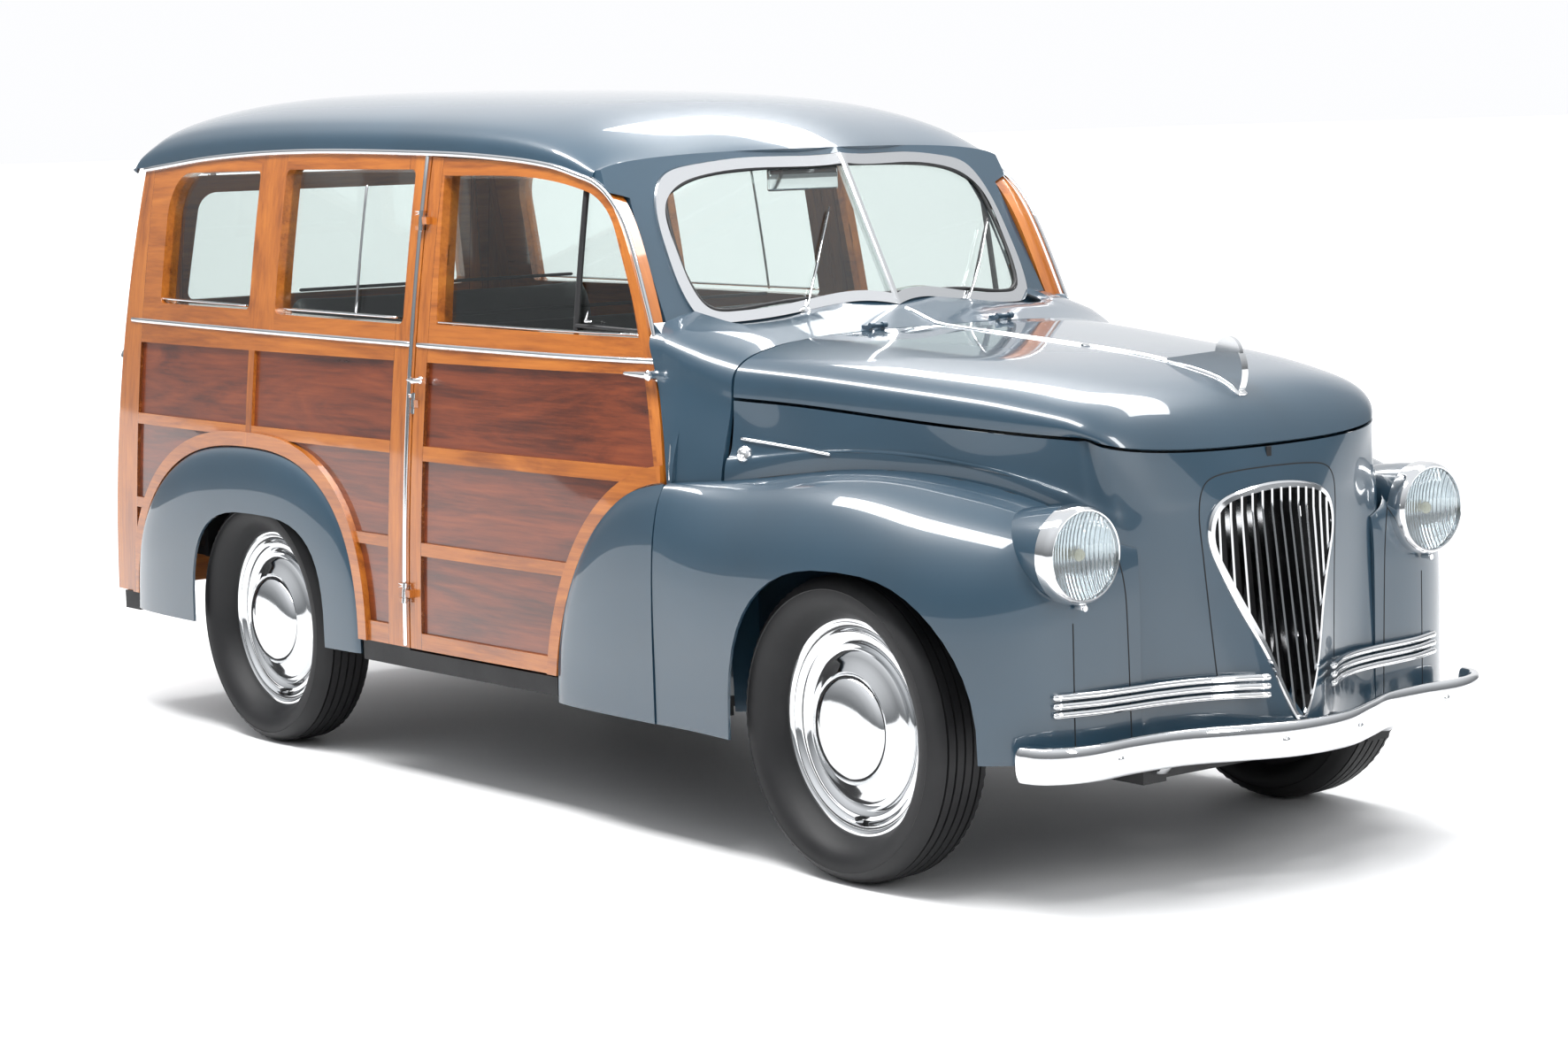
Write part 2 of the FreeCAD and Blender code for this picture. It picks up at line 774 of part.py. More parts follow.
def nose_rows():
    """Half of the nose wall, from the scuttle round to the middle of the prow."""
    rows = []
    for station, (wx, wy, wz) in zip(hood_stations, nose_side_waist):
        hx, hy, hz = station[0], station[1], station[2] - nose_top_drop
        row = [V(hx, -hy, hz)]
        for share, flare in ((0.35, 0.12), (0.7, 0.5), (1.0, 1.0)):
            row.append(V(hx + (wx - hx) * share, -(hy + (wy - hy) * flare), hz + (wz - hz) * share))
        row.append(V(wx, -wy + 2, 560))
        row.append(V(wx, -wy + 6, 420))
        row.append(V(wx, -wy + 10, nose_foot_z))
        rows.append(row)
    lip = hood_section(hood_stations[-1], nose_top_drop)
    for degrees, (wx, wy, wz), (fx, fy) in zip(nose_front_angles, nose_front_waist, nose_front_foot):
        top = lip[hood_angles.index(degrees)]
        row = [top]
        for share in (0.35, 0.7, 1.0):
            row.append(top.add(V(wx, -wy, wz).sub(top) * share))
        for z in (560, 420, nose_foot_z):
            fall = (wz - z) / (wz - nose_foot_z)
            row.append(V(wx + (fx - wx) * fall, -(wy + (fy - wy) * fall), z))
        rows.append(row)
    return rows


def nose_grid():
    right = nose_rows()
    left = [[V(p.x, -p.y, p.z) for p in row] for row in reversed(right[:-1])]
    return right + left


# Grille opening in front view: a tear drop, wide at its shoulders and pointed at its foot.
grille_half_outline = [(0, 346), (60, 440), (112, 560), (158, 660), (178, 728), (160, 782), (100, 808), (0, 818)]


def tear_drop_points(shrink=0.0):
    """Closed outline of the grille opening in front view, less an even margin."""
    points = []
    for y, z in grille_half_outline:
        middle_z = 640.0
        reach = math.hypot(y, z - middle_z)
        scale = (reach - shrink) / reach
        points.append((y * scale, middle_z + (z - middle_z) * scale))
    return points + [(-y, z) for y, z in reversed(points[1:-1])]


def tear_drop(shrink=0.0):
    """Front view of the grille opening, less an even margin."""
    edge = curve_through([V(0, y, z) for y, z in tear_drop_points(shrink)], True)
    return Part.Face(Part.Wire([edge]))


def wheel_room():
    """Space inside the body that a front wheel sweeps as it steers."""
    return box((front_axle_x - 375, -900, 0), (front_axle_x + 375, -360, 735))


def nose_panel():
    """Fixed front body: the hood's sides, the wall round the grille and the prow."""
    levels = [list(level) for level in zip(*nose_grid())]
    shell = pressing(levels, inner_points(levels, nose_skin))
    shell = shell.cut([along(tear_drop(), 1600, 2100), wheel_room(), mirrored(wheel_room())])
    return max(shell.Solids, key=lambda solid: solid.Volume)


grille_bar_count = 13
grille_bar_width = 6.0
grille_half_span = 170.0


def prow_levels():
    """The level curves that the nose wall is lofted through."""
    return [smooth_curve(list(level)) for level in zip(*nose_grid())]


def prow_profile(levels, y):
    """Points (x, z) down the prow at a distance from the middle."""
    found = [point_at(level, lambda point: point.y, y) for level in levels]
    return [(point.x, point.z) for point in found]


def prow_x(levels, y, z):
    """Station of the prow's surface at a height."""
    profile = prow_profile(levels, y)
    for (x0, z0), (x1, z1) in zip(profile, profile[1:]):
        if z1 <= z <= z0:
            return x0 + (x1 - x0) * (z0 - z) / (z0 - z1)
    return profile[-1][0]


def grille_rim(levels):
    """Bright ring that lies on the prow round the opening and lines its edge."""
    edges = []
    for margin, ahead in ((-6, -3), (-6, 4), (-2, 8), (8, 8), (8, -nose_skin - 4), (1, -nose_skin - 4), (1, -3)):
        loop = [V(prow_x(levels, y, z) + ahead, y, z) for y, z in tear_drop_points(margin)]
        edges.append(curve_through(loop, True))
    faces = [Part.makeRuledSurface(a, b) for a, b in zip(edges, edges[1:] + edges[:1])]
    shell = Part.makeShell(faces)
    shell.sewShape()
    solid = Part.makeSolid(shell)
    if solid.Volume < 0:
        solid.reverse()
    return solid


def grille(nose):
    """Bright rim and upright bars that fill the opening in the prow."""
    levels = prow_levels()
    rim = grille_rim(levels).cut(nose)
    pieces = [max(rim.Solids, key=lambda solid: solid.Volume)]
    opening = along(tear_drop(5), 1600, 2100)
    for i in range(grille_bar_count):
        y = grille_half_span * (2 * (i + 0.5) / grille_bar_count - 1)
        profile = prow_profile(levels, y)[3:]
        face = outline(in_side_view, (profile[0][0] - 10, profile[0][1] + 60),
                       *[[(x - 10, z)] for x, z in profile], *[[(x + 4, z)] for x, z in reversed(profile)],
                       [(profile[0][0] + 4, profile[0][1] + 60)])
        bar = across(face, y - grille_bar_width / 2, y + grille_bar_width / 2)
        pieces.append(bar)
    return fuse([pieces[0]] + Part.makeCompound(pieces[1:]).common(opening).Solids)


def radiator():
    """Core behind the grille, on its cross member."""
    return box((1642, -225, 329 + seat_gap), (1698, 225, 800))


def engine():
    """Engine, clutch housing and gearbox as one plain mass."""
    block = box((900, -210, 394), (1480, 210, 880))
    housing = box((812, -150, 394), (900, 150, 640))
    gearbox = box((gearbox_tail_x, -gearbox_half_width, 345), (812, gearbox_half_width, 420))
    return fuse([block, housing, gearbox])


rail_y = 330.0
rail_half_width = 32.0
rail_top_z = 308.0
rear_rail_z = (395.0, 460.0)
front_rail_z = (370.0, 432.0)
horn_z = (238.0, 290.0)
horn_x = 1835.0
chassis_rear_x = -1925.0


def chassis_frame(nose):
    """Two side rails that rise over both axles, tied by cross members."""
    side = outline(
        in_side_view, (chassis_rear_x, rear_rail_z[0]),
        [(-880, rear_rail_z[0])], [(-745, 245)], [(820, 245)], [(960, front_rail_z[0])],
        [(1560, front_rail_z[0])], [(1700, horn_z[0])], [(horn_x, horn_z[0])], [(horn_x, horn_z[1])],
        [(1720, horn_z[1])], [(1585, front_rail_z[1])], [(930, front_rail_z[1])], [(790, rail_top_z)],
        [(-750, rail_top_z)], [(-890, rear_rail_z[1])], [(chassis_rear_x, rear_rail_z[1])])
    rail = across(side, -rail_y - rail_half_width, -rail_y + rail_half_width)
    pieces = [rail, mirrored(rail)]
    members = ((-1895, 400, 455), (-960, 400, 455), (100, 250, 303), (700, 250, 303),
               (980, 373, 394), (1440, 373, 394), (1670, 280, 329), (1790, 242, 286))
    for x, low, high in members:
        pieces.append(box((x - 30, -rail_y, low), (x + 30, rail_y, high)))
    bracket = box((1742, -430, 270), (1768, -340, nose_foot_z + 4)).cut(nose)
    bracket = min(bracket.Solids, key=lambda solid: solid.BoundBox.ZMin)
    return fuse(pieces + [bracket, mirrored(bracket)])


floor_top_z = 335.0
floor_half_width = 640.0
floor_front_x = 786.0
load_floor_z = 485.0
sill_foot_z = 288.0
heel_x = -720.0
sill_outer_y = 700.0
sill_top_z = 332.0


wheel_house_x = 385.0
wheel_house_y = (500.0, 650.0)
wheel_house_top_z = 720.0
sheet_thickness = 20.0
load_board_front_x = -1360.0
tunnel_outer_y = tunnel_half_width + tunnel_wall
low_floor_z = rail_top_z + seat_gap
load_deck_z = rear_rail_z[1] + seat_gap


def tunnel_bore():
    """Room for the gearbox and the shaft behind it."""
    return box((heel_x - 2 * sheet_thickness, -tunnel_half_width, 200),
               (floor_front_x + 100, tunnel_half_width, tunnel_top_z - tunnel_wall))


def floor_pan():
    """Low floor on each side of the tunnel, and the heel board that rises behind it."""
    plate = box((heel_x, -floor_half_width, low_floor_z), (floor_front_x, -tunnel_outer_y, floor_top_z))
    heel = box((heel_x - sheet_thickness, -floor_half_width, low_floor_z), (heel_x, floor_half_width, load_deck_z))
    return Part.makeCompound([plate, mirrored(plate), heel.cut(tunnel_bore())])


def tunnel():
    """Raised channel between the floor plates."""
    cover = box((heel_x, -tunnel_outer_y, low_floor_z), (floor_front_x, tunnel_outer_y, tunnel_top_z))
    return cover.cut(tunnel_bore())


def load_floor():
    """Flat boards between the wheel houses, one behind the rear seat and one that carries it."""
    half = wheel_house_y[0]
    behind = box((chassis_rear_x, -half, load_deck_z), (load_board_front_x, half, load_floor_z))
    under_seat = box((load_board_front_x, -half, load_deck_z), (heel_x, half, load_floor_z))
    return Part.makeCompound([behind, under_seat])


def wheel_house():
    """Right rear wheel house with the floor strips at its ends and the hanger of the rear corner."""
    inner, outer = wheel_house_y
    wall = sheet_thickness
    low_x, high_x = rear_axle_x - wheel_house_x, rear_axle_x + wheel_house_x
    well = box((low_x + wall, -720, 100), (high_x - wall, -inner - wall, wheel_house_top_z - wall))
    house = box((low_x, -outer, load_deck_z), (high_x, -inner, wheel_house_top_z)).cut(well)
    rear_strip = box((chassis_rear_x, -floor_half_width, load_deck_z), (low_x, -inner, load_floor_z))
    front_strip = box((high_x, -floor_half_width, load_deck_z), (heel_x, -inner, load_floor_z))
    corner = box((chassis_rear_x, -sill_outer_y, sill_foot_z), (-1840, -560, wood_bottom_z - seat_gap))
    hanger = box((chassis_rear_x, -floor_half_width, sill_foot_z), (-1840, -560, load_deck_z))
    return fuse([house, rear_strip, front_strip, corner, hanger])


def sill():
    """Right sill under the wood and the door, joined to the edge of the low floor."""
    pieces = []
    for x_low, x_high, top_z in ((heel_x + 150, pillar_x, wood_bottom_z - seat_gap), (pillar_x, 278, sill_top_z)):
        plan = outline(in_plan, (x_low, -600), [(x_low, 1 - side_y(x_low, 340))],
                       [(x_high, 1 - side_y(x_high, 340))], [(x_high, -600)])
        pieces.append(upright(plan, sill_foot_z, top_z))
    pieces.append(box((278, -sill_outer_y, sill_foot_z), (floor_front_x, -600, sill_top_z)))
    plate = box((heel_x, -floor_half_width, low_floor_z), (floor_front_x, 0, floor_top_z))
    return fuse(pieces).cut(plate)


def bulkhead():
    """Firewall, kick panels, dashboard and steering column."""
    low_z = floor_top_z + seat_gap
    wall = box((786, -640, low_z), (800, 640, 781))
    upper = box((786, -585, 781), (800, 585, 985))
    kick = box((700, -640, low_z), (800, -626, 781))
    dash = outline(in_side_view, (430, 950), [(420, 1075)], [(470, 1105)], [(560, 1105)], [(560, 950)])
    face = across(dash, -560, 560)
    shelf = box((550, -560, 950), (800, 560, 964))
    length = (786 - steering_centre.x) / -steering_axis.x
    start = steering_centre.sub(steering_axis * 24)
    column = cylinder(21, length, start, steering_axis * -1)
    shaft = cylinder(steering_shaft_radius, 40, steering_centre.sub(steering_axis * 30), steering_axis)
    body = fuse([wall, upper, kick, mirrored(kick), face, shelf, column, shaft])
    opening = box((700, -tunnel_half_width - tunnel_wall - 3, 0),
                  (900, tunnel_half_width + tunnel_wall + 3, tunnel_top_z + 3))
    return body.cut(opening)


def windshield_slab(ahead, behind):
    """Both leaning planes of the windshield as one thick V, from ahead to behind."""
    def plane(y, z):
        return windshield_foot[0] - windshield_slope * (z - windshield_foot[1]) - windshield_sweep * abs(y) + ahead

    corners = [(0, 1040), (-720, 1040), (-720, 1600), (0, 1600)]
    points = [V(plane(y, z), y, z) for y, z in corners]
    face = Part.Face(Part.makePolygon(points + [points[0]]))
    half = face.extrude(V(-ahead - behind, 0, 0))
    return half.fuse(mirrored(half)).removeSplitter()


windshield_half = [(0, 1160), (250, 1156), (430, 1141), (490, 1152), (512, 1200), (516, 1300), (500, 1412),
                   (462, 1471), (380, 1496), (250, 1508), (0, 1513)]


def windshield_outline(shrink=0.0):
    """Front view of the windshield, less an even margin."""
    middle_z = 1325.0
    points = []
    for y, z in windshield_half:
        grow_y = (y - shrink) if y > 400 else y * (1 - shrink / 500)
        grow_z = z - math.copysign(shrink, z - middle_z) if abs(z - middle_z) > 100 else z
        points.append((grow_y, grow_z))
    right = [(-y, z) for y, z in reversed(points[1:-1])]
    return outline(in_front_view, points[0], points[1:], right + [points[0]])


def windshield_frame(roof_shell):
    """Bright surround and centre bar of the windshield."""
    ring = along(windshield_outline(seat_gap), 0, 1200).cut(along(windshield_outline(24), 0, 1200))
    ring = ring.common(windshield_slab(8, 14))
    bar = along(windshield_outline(2), 0, 1200).common(box((0, -9, 1100), (1200, 9, 1600)))
    bar = bar.common(windshield_slab(8, 14))
    return fuse([ring, bar]).cut(roof_shell)


def windshield_glass():
    bar = box((0, -9, 1000), (1200, 9, 1700))
    opening = along(windshield_outline(24), 0, 1200).cut(bar)
    return opening.common(windshield_slab(0, glass_thickness))


# Scuttle stations: x, foot half width, shoulder half width and height, crown height, squareness.
scuttle_stations = [
    (560, 688, 646, 1072, 1190, 3.2),
    (620, 686, 640, 1066, 1176, 3.2),
    (680, 684, 644, 1050, 1158, 3.2),
    (740, 668, 628, 1020, 1140, 3.3),
    (780, 652, 612, 1002, 1127, 3.4),
    (815, 640, 601, 994, 1117, 3.5),
]
scuttle_foot_z = 782.0
scuttle_skin = 12.0
surround_foot_z = 1122.0


def scuttle_grid(inset=0.0):
    rows = []
    for x, foot, half, shoulder, crown, power in scuttle_stations:
        foot, half, crown = foot - inset, half - inset, crown - inset
        middle = foot * 0.55 + half * 0.45
        row = [V(x, -foot, scuttle_foot_z), V(x, -middle, (scuttle_foot_z + shoulder) / 2)]
        for degrees in hood_angles:
            angle = math.radians(degrees)
            y = math.copysign(abs(math.sin(angle)) ** (2 / power), degrees) * half
            rise = math.cos(angle) ** (2 / power) if abs(degrees) < 90 else 0.0
            row.append(V(x, y, shoulder + (crown - shoulder) * rise))
        row.append(V(x, middle, (scuttle_foot_z + shoulder) / 2))
        row.append(V(x, foot, scuttle_foot_z))
        rows.append(row)
    return rows


def roof_front_face():
    """Front view of what lies under the roof's front edge."""
    half, low, crown = 607.0, rail_z(305), 1526.0
    points = []
    for degrees in roof_angles:
        angle = math.radians(degrees)
        rise = math.cos(angle) ** (2 / roof_power) if abs(degrees) < 90 else 0.0
        y = math.copysign(half * abs(math.sin(angle)) ** (2 / roof_power), degrees)
        points.append((y, low + (crown - low) * rise))
    return outline(in_front_view, points[0], points[1:], [(700, low)], [(700, surround_foot_z)],
                   [(-700, surround_foot_z)], [(-700, low)])


def cowl(roof_shell):
    """Painted body between hood and doors: scuttle, door pillars and windshield surround."""
    scuttle = pressing(scuttle_grid(), scuttle_grid(scuttle_skin))
    right = side_slab(0, 800, 60, 760, 1000, 1560)
    volume = right.fuse(mirrored(right)).removeSplitter()
    surround = windshield_slab(0, wall_thickness).common(volume).common(along(roof_front_face(), 0, 1200))
    post = side_slab(0, wall_thickness, 560, 760, 700, 1200)
    post_face = outline(in_side_view, (640, 800), [(698, 800)], [(698, 1040)], [(560, 1150)], [(540, 1150)])
    post = post.common(across(post_face))
    body = fuse([surround, scuttle, post, mirrored(post)])
    doorway = across(door_outline(running_gap)).common(side_slab(-60, wall_thickness + running_gap, -420, 760))
    opening = along(windshield_outline(), 0, 1200)
    body = body.cut([opening, doorway, mirrored(doorway), roof_shell])
    body = max(body.Solids, key=lambda solid: solid.Volume)
    pieces = [body]
    for centre in hood_hinges:
        pieces += hinge_pin(centre, V(0, 1, 0))
        for low, high in ((-hinge_half, -hinge_ring_half - hinge_gap), (hinge_ring_half + hinge_gap, hinge_half)):
            pieces.append(box((796, centre.y + low, 1106), (820, centre.y + high, 1128)))
    return fuse(pieces)


# Roof stations: x on the centre line and crown height, from the rear header to the windshield.
roof_crown = [(-1947, 1528), (-1940, 1580), (-1915, 1620), (-1860, 1655), (-1760, 1680), (-1480, 1699),
              (-1049, 1698), (-500, 1684), (-100, 1664), (150, 1638), (320, 1596), (420, 1550), (458, 1526)]
roof_angles = (-90, -82, -72, -58, -40, -20, 0, 20, 40, 58, 72, 82, 90)
roof_power = 2.7
roof_rise = 150.0


def roof_grid(inset=0.0):
    """Rows across the roof, from the rear header to the windshield."""
    rows = []
    first = roof_crown[0][0]
    last = roof_crown[-1][0]
    for x, crown in roof_crown:
        share = (x - first) / (last - first)
        row = []
        for degrees in roof_angles:
            angle = math.radians(degrees)
            spread = abs(math.sin(angle)) ** (2 / roof_power)
            rise = math.cos(angle) ** (2 / roof_power) if abs(degrees) < 90 else 0.0
            pull = 600.0 * spread * windshield_sweep * share - 35.0 * (1 - rise) * (1 - share)
            px = x - pull + inset * (1 - 2 * share)
            edge_z = rail_z(px)
            half = side_y(px, edge_z) + 4.0 - inset
            z = edge_z + (crown - edge_z) * rise * (1 - inset / roof_rise)
            row.append(V(px, math.copysign(half * spread, degrees), z))
        rows.append(row)
    return rows


def roof():
    """Roof shell, a single crowned pressing over the drip rails."""
    return pressing(roof_grid(), roof_grid(roof_skin))


def rear_x(y, z):
    """Station of the rear face of the body."""
    lean = rear_rake * (max(z - wood_bottom_z, 0.0) / (rear_top_z - wood_bottom_z)) ** 2.2
    return rear_face_x + rear_crown * (y / 690.0) ** 2 + lean


def rear_slab(depth_from, depth_to):
    """The rear wall between two depths below its outer surface."""
    grid = [[V(rear_x(y, z) + depth_from, y, z) for z in spaced(wood_bottom_z - 40, 1600, 9)]
            for y in spaced(-700, 700, 5)]
    return smooth_face(grid).extrude(V(depth_to - depth_from, 0, 0))


tailgate_half = 540.0
tailgate_z = (468.0, 1076.0)
hatch_half_low = 528.0
hatch_z = (1084.0, 1490.0)
hatch_half_high = 486.0


tailgate_hinges = [V(rear_face_x - 3, y, tailgate_z[0] - running_gap) for y in (-400, 400)]
hatch_hinges = [V(-1934, y, 1500) for y in (-360, 360)]


def tailgate_face(grow=0.0):
    low, high = tailgate_z
    half = tailgate_half + grow
    return rounded(in_front_view, [(-half, low - grow, 0), (half, low - grow, 0), (half, high + grow, 0),
                                   (-half, high + grow, 0)])


def hatch_face(grow=0.0, radius=70.0):
    low, high = hatch_z
    return rounded(in_front_view, [(-hatch_half_low - grow, low - grow, 0), (hatch_half_low + grow, low - grow, 0),
                                   (hatch_half_high + grow, high + grow, radius),
                                   (-hatch_half_high - grow, high + grow, radius)])


def rear_frame(roof_shell):
    """Wooden posts, header and apron round the rear openings."""
    slab = rear_slab(0, wall_thickness)
    inner = side_slab(wall_thickness, 1600, -2060, -1700)
    inner = inner.common(mirrored(inner))
    height = box((-2100, -700, wood_bottom_z), (-1500, 700, 1536))
    body = slab.common(inner).common(height)
    openings = [along(tailgate_face(running_gap), -2200, -1700), along(hatch_face(running_gap), -2200, -1700)]
    body = body.cut(openings + [roof_shell])
    body = body.cut([hinge_room(centre, V(0, 1, 0)) for centre in tailgate_hinges + hatch_hinges])
    pieces = [max(body.Solids, key=lambda solid: solid.Volume)]
    for centres, low, high in ((tailgate_hinges, -22, 0), (hatch_hinges, 0, 6)):
        for centre in centres:
            pieces += hinge_pin(centre, V(0, 1, 0))
            inner = hinge_ring_half + hinge_gap
            for near, far in ((-hinge_half, -inner), (inner, hinge_half)):
                pieces.append(box((centre.x - 3, centre.y + near, centre.z + low),
                                  (centre.x + 16, centre.y + far, centre.z + high)))
    return fuse(pieces)


def hung_gate(gate, centres, low, high):
    """A rear gate with a ring and a plate at each of its hinges."""
    pieces = [gate]
    holes = []
    for centre in centres:
        ring, hole = hinge_ring(centre, V(0, 1, 0))
        plate = box((centre.x - 2, centre.y - 9, centre.z + low), (centre.x + 14, centre.y + 9, centre.z + high))
        pieces += [ring, plate]
        holes.append(hole)
    return fuse(pieces).cut(holes)


def tailgate():
    """Drop-down lower gate: wooden frame with a dark panel opening."""
    gate = rear_slab(0, wall_thickness).common(along(tailgate_face(), -2200, -1700))
    gate = gate.cut([along(face, -2200, -1700) for face in tailgate_panel_faces()])
    return hung_gate(gate, tailgate_hinges, 1, 44)


def tailgate_panel_faces():
    half = tailgate_half - 60
    low, high = tailgate_z
    faces = []
    for left, right in ((-half, -18), (18, half)):
        for bottom, top in ((low + 52, 748), (782, high - 45)):
            faces.append(rounded(in_front_view, [(left, bottom, 0), (right, bottom, 0), (right, top, 0), (left, top, 0)]))
    return faces


def tailgate_panels():
    slab = rear_slab(panel_recess, wall_thickness)
    return Part.makeCompound([slab.common(along(face, -2200, -1700)) for face in tailgate_panel_faces()])


def hatch_window_face():
    low, high = hatch_z
    return rounded(in_front_view, [(-hatch_half_low + 62, low + 58, 20), (hatch_half_low - 62, low + 58, 20),
                                   (hatch_half_high - 62, high - 48, 60), (-hatch_half_high + 62, high - 48, 60)])


def hatch():
    """Upper gate, a wooden window frame hinged at the roof."""
    gate = rear_slab(0, wall_thickness).common(along(hatch_face(), -2200, -1700))
    return hung_gate(gate.cut(along(hatch_window_face(), -2200, -1700)), hatch_hinges, -40, -5)


def hatch_glass():
    slab = rear_slab(wall_thickness / 2, wall_thickness / 2 + glass_thickness)
    return slab.common(along(hatch_window_face(), -2200, -1700))


def revolve_about_y(points, centre):
    """A ring or disc from a profile (radius, y), turned about the wheel's axis."""
    corners = [V(radius, y, 0) for radius, y in points]
    face = Part.Face(Part.makePolygon(corners + [corners[0]]))
    return face.revolve(V(0, 0, 0), V(0, 1, 0), 360).translated(centre)


def tyre(centre):
    """Tyre section with its bead bore and bevelled shoulders."""
    w = tyre_half_width
    r = tyre_radius
    profile = [(bead_radius, -w), (r - 8, -w), (r, -w + 10), (r, w - 10), (r - 8, w), (bead_radius, w)]
    return revolve_about_y(profile, centre)


def wheel(centre):
    """Steel wheel with its bright disc, cap and brake drum. The outer side faces -Y."""
    r = bead_radius - seat_gap
    drum_y = wheel_track / 2 - king_pin_y - 47
    section = [(r, -20), (r, 60), (r - 8, 60), (r - 8, 14), (140, 14), (140, drum_y), (hub_radius, drum_y),
               (hub_radius, -40), (0, -40), (0, -56), (82, -56), (92, -46), (92, -20)]
    return revolve_about_y(section, centre)


def rear_axle():
    """Rear axle casing with its differential, driving tube and wheel stubs."""
    z = tyre_radius
    x = rear_axle_x
    end = wheel_track / 2 - 75
    tube = cylinder(38, 2 * end, V(x, -end, z), V(0, 1, 0))
    ball = Part.makeSphere(110, V(x, 0, z))
    drive = Part.makeCone(58, 34, gearbox_tail_x - 4 - x, V(x, 0, z), V(1, 0, 0.02))
    stubs = cylinder(hub_radius - hub_play, wheel_track + 70, V(x, -wheel_track / 2 - 35, z), V(0, 1, 0))
    return fuse([tube, ball, drive, stubs])


def front_axle():
    """Beam axle with a king pin boss and pin at each end."""
    z = tyre_radius
    x = front_axle_x
    pieces = [box((x - ear_radius, -king_pin_y, z - 40), (x + ear_radius, king_pin_y, z + 10))]
    for side in (-1, 1):
        pieces.append(cylinder(ear_radius, 84, V(x, side * king_pin_y, z - 46), V(0, 0, 1)))
        pieces.append(cylinder(king_pin_radius, 166, V(x, side * king_pin_y, z - 87), V(0, 0, 1)))
    return fuse(pieces)


def knuckle():
    """Right steering knuckle: a fork round the king pin and the wheel's stub."""
    x, y, z = front_axle_x, -king_pin_y, tyre_radius
    pieces = []
    for low in (z - 78, z + 44):
        pieces.append(cylinder(ear_radius, 26, V(x, y, low), V(0, 0, 1)))
        pieces.append(box((x - 24, y - 42, low), (x + 24, y, low + 26)))
    pieces.append(box((x - 24, y - 42, z - 78), (x + 24, y - 32, z + 70)))
    body = fuse(pieces).cut(cylinder(king_pin_radius + hub_play, 300, V(x, y, z - 150), V(0, 0, 1)))
    spindle = cylinder(hub_radius - hub_play, 78, V(x, y - 36, z), V(0, -1, 0))
    return body.fuse(spindle).removeSplitter()


def leaf_springs():
    """Packs of leaves between the axles and the side rails."""
    thick = 26.0
    packs = ((rear_axle_x, tyre_radius + 38 + seat_gap, rear_rail_z[0] - seat_gap - thick, 262),
             (front_axle_x, tyre_radius + 10 + seat_gap, front_rail_z[0] - seat_gap - thick, 280))
    springs = []
    for x, middle_z, end_z, reach in packs:
        face = outline(in_side_view, (x - reach, end_z), [(x, middle_z), (x + reach, end_z)],
                       [(x + reach, end_z + thick)], [(x, middle_z + thick), (x - reach, end_z + thick)])
        springs.append(across(face, -rail_y - 24, -rail_y + 24))
    return Part.makeCompound([piece for spring in springs for piece in (spring, mirrored(spring))])


def headlamp_rim():
    x, y, z = lamp_centre
    profile = outline(in_side_view, (x + 0.3, z), [(x + 0.3, z + 88)], [(x - 8, z + 88)], [(x - 8, z + lamp_radius)],
                      [(x + 22, z + lamp_radius)], [(x + 38, z + 90)], [(x + 12, z + 90)], [(x + 12, z)])
    return profile.revolve(V(x, 0, z), V(1, 0, 0), 360).translated(V(0, -y, 0))


def headlamp_lens():
    x, y, z = lamp_centre
    profile = outline(in_side_view, (x + 14, z), [(x + 14, z + 90)], [(x + 30, z + 90)],
                      [(x + 40, z + 52)], [(x + 44, z)])
    return profile.revolve(V(x, 0, z), V(1, 0, 0), 360).translated(V(0, -y, 0))


bumper_line = [(0, half_length), (90, 1994), (190, 1954), (300, 1908), (420, 1894), (530, 1898), (600, 1880),
               (640, 1846), (655, 1800)]
bumper_z = (284.0, 346.0)
bumper_thickness = 8.0


def bumper():
    """Waved blade on two arms that rise from the ends of the side rails."""
    outer = [(x, -y) for y, x in reversed(bumper_line)] + [(x, y) for y, x in bumper_line[1:]]
    inner = []
    for i, (x, y) in enumerate(outer):
        (x0, y0), (x1, y1) = outer[max(i - 1, 0)], outer[min(i + 1, len(outer) - 1)]
        length = math.hypot(x1 - x0, y1 - y0)
        inner.append((x - bumper_thickness * (y1 - y0) / length, y + bumper_thickness * (x1 - x0) / length))
    plan = outline(in_plan, outer[0], outer[1:], [inner[-1]], list(reversed(inner))[1:], [outer[0]])
    blade = upright(plan, bumper_z[0], bumper_z[1])
    side = outline(in_side_view, (horn_x + seat_gap, horn_z[0]), [(1868, horn_z[0]), (1900, 296)], [(1900, 338)],
                   [(1890, 338)], [(1850, 290)], [(horn_x + seat_gap, horn_z[1])])
    arm = across(side, -rail_y - 16, -rail_y + 16)
    return fuse([blade, arm, mirrored(arm)])


def nose_bars(nose, fender):
    """Three bright bars on the left of the grille, laid on the nose and the fender."""
    outer = [(1796, 556), (1822, 470), (1832, 390), (1838, 320), (1856, 235), (1886, 165), (1930, 96)]
    inner = [(x - 18, y) for x, y in outer]
    plan = outline(in_plan, outer[0], outer[1:], [inner[-1]], list(reversed(inner))[1:], [outer[0]])
    bars = [upright(plan, 394 + 18 * level, 406 + 18 * level).cut([nose, mirrored(fender)]) for level in range(3)]
    return [max(bar.Solids, key=lambda solid: solid.BoundBox.XMax) for bar in bars]


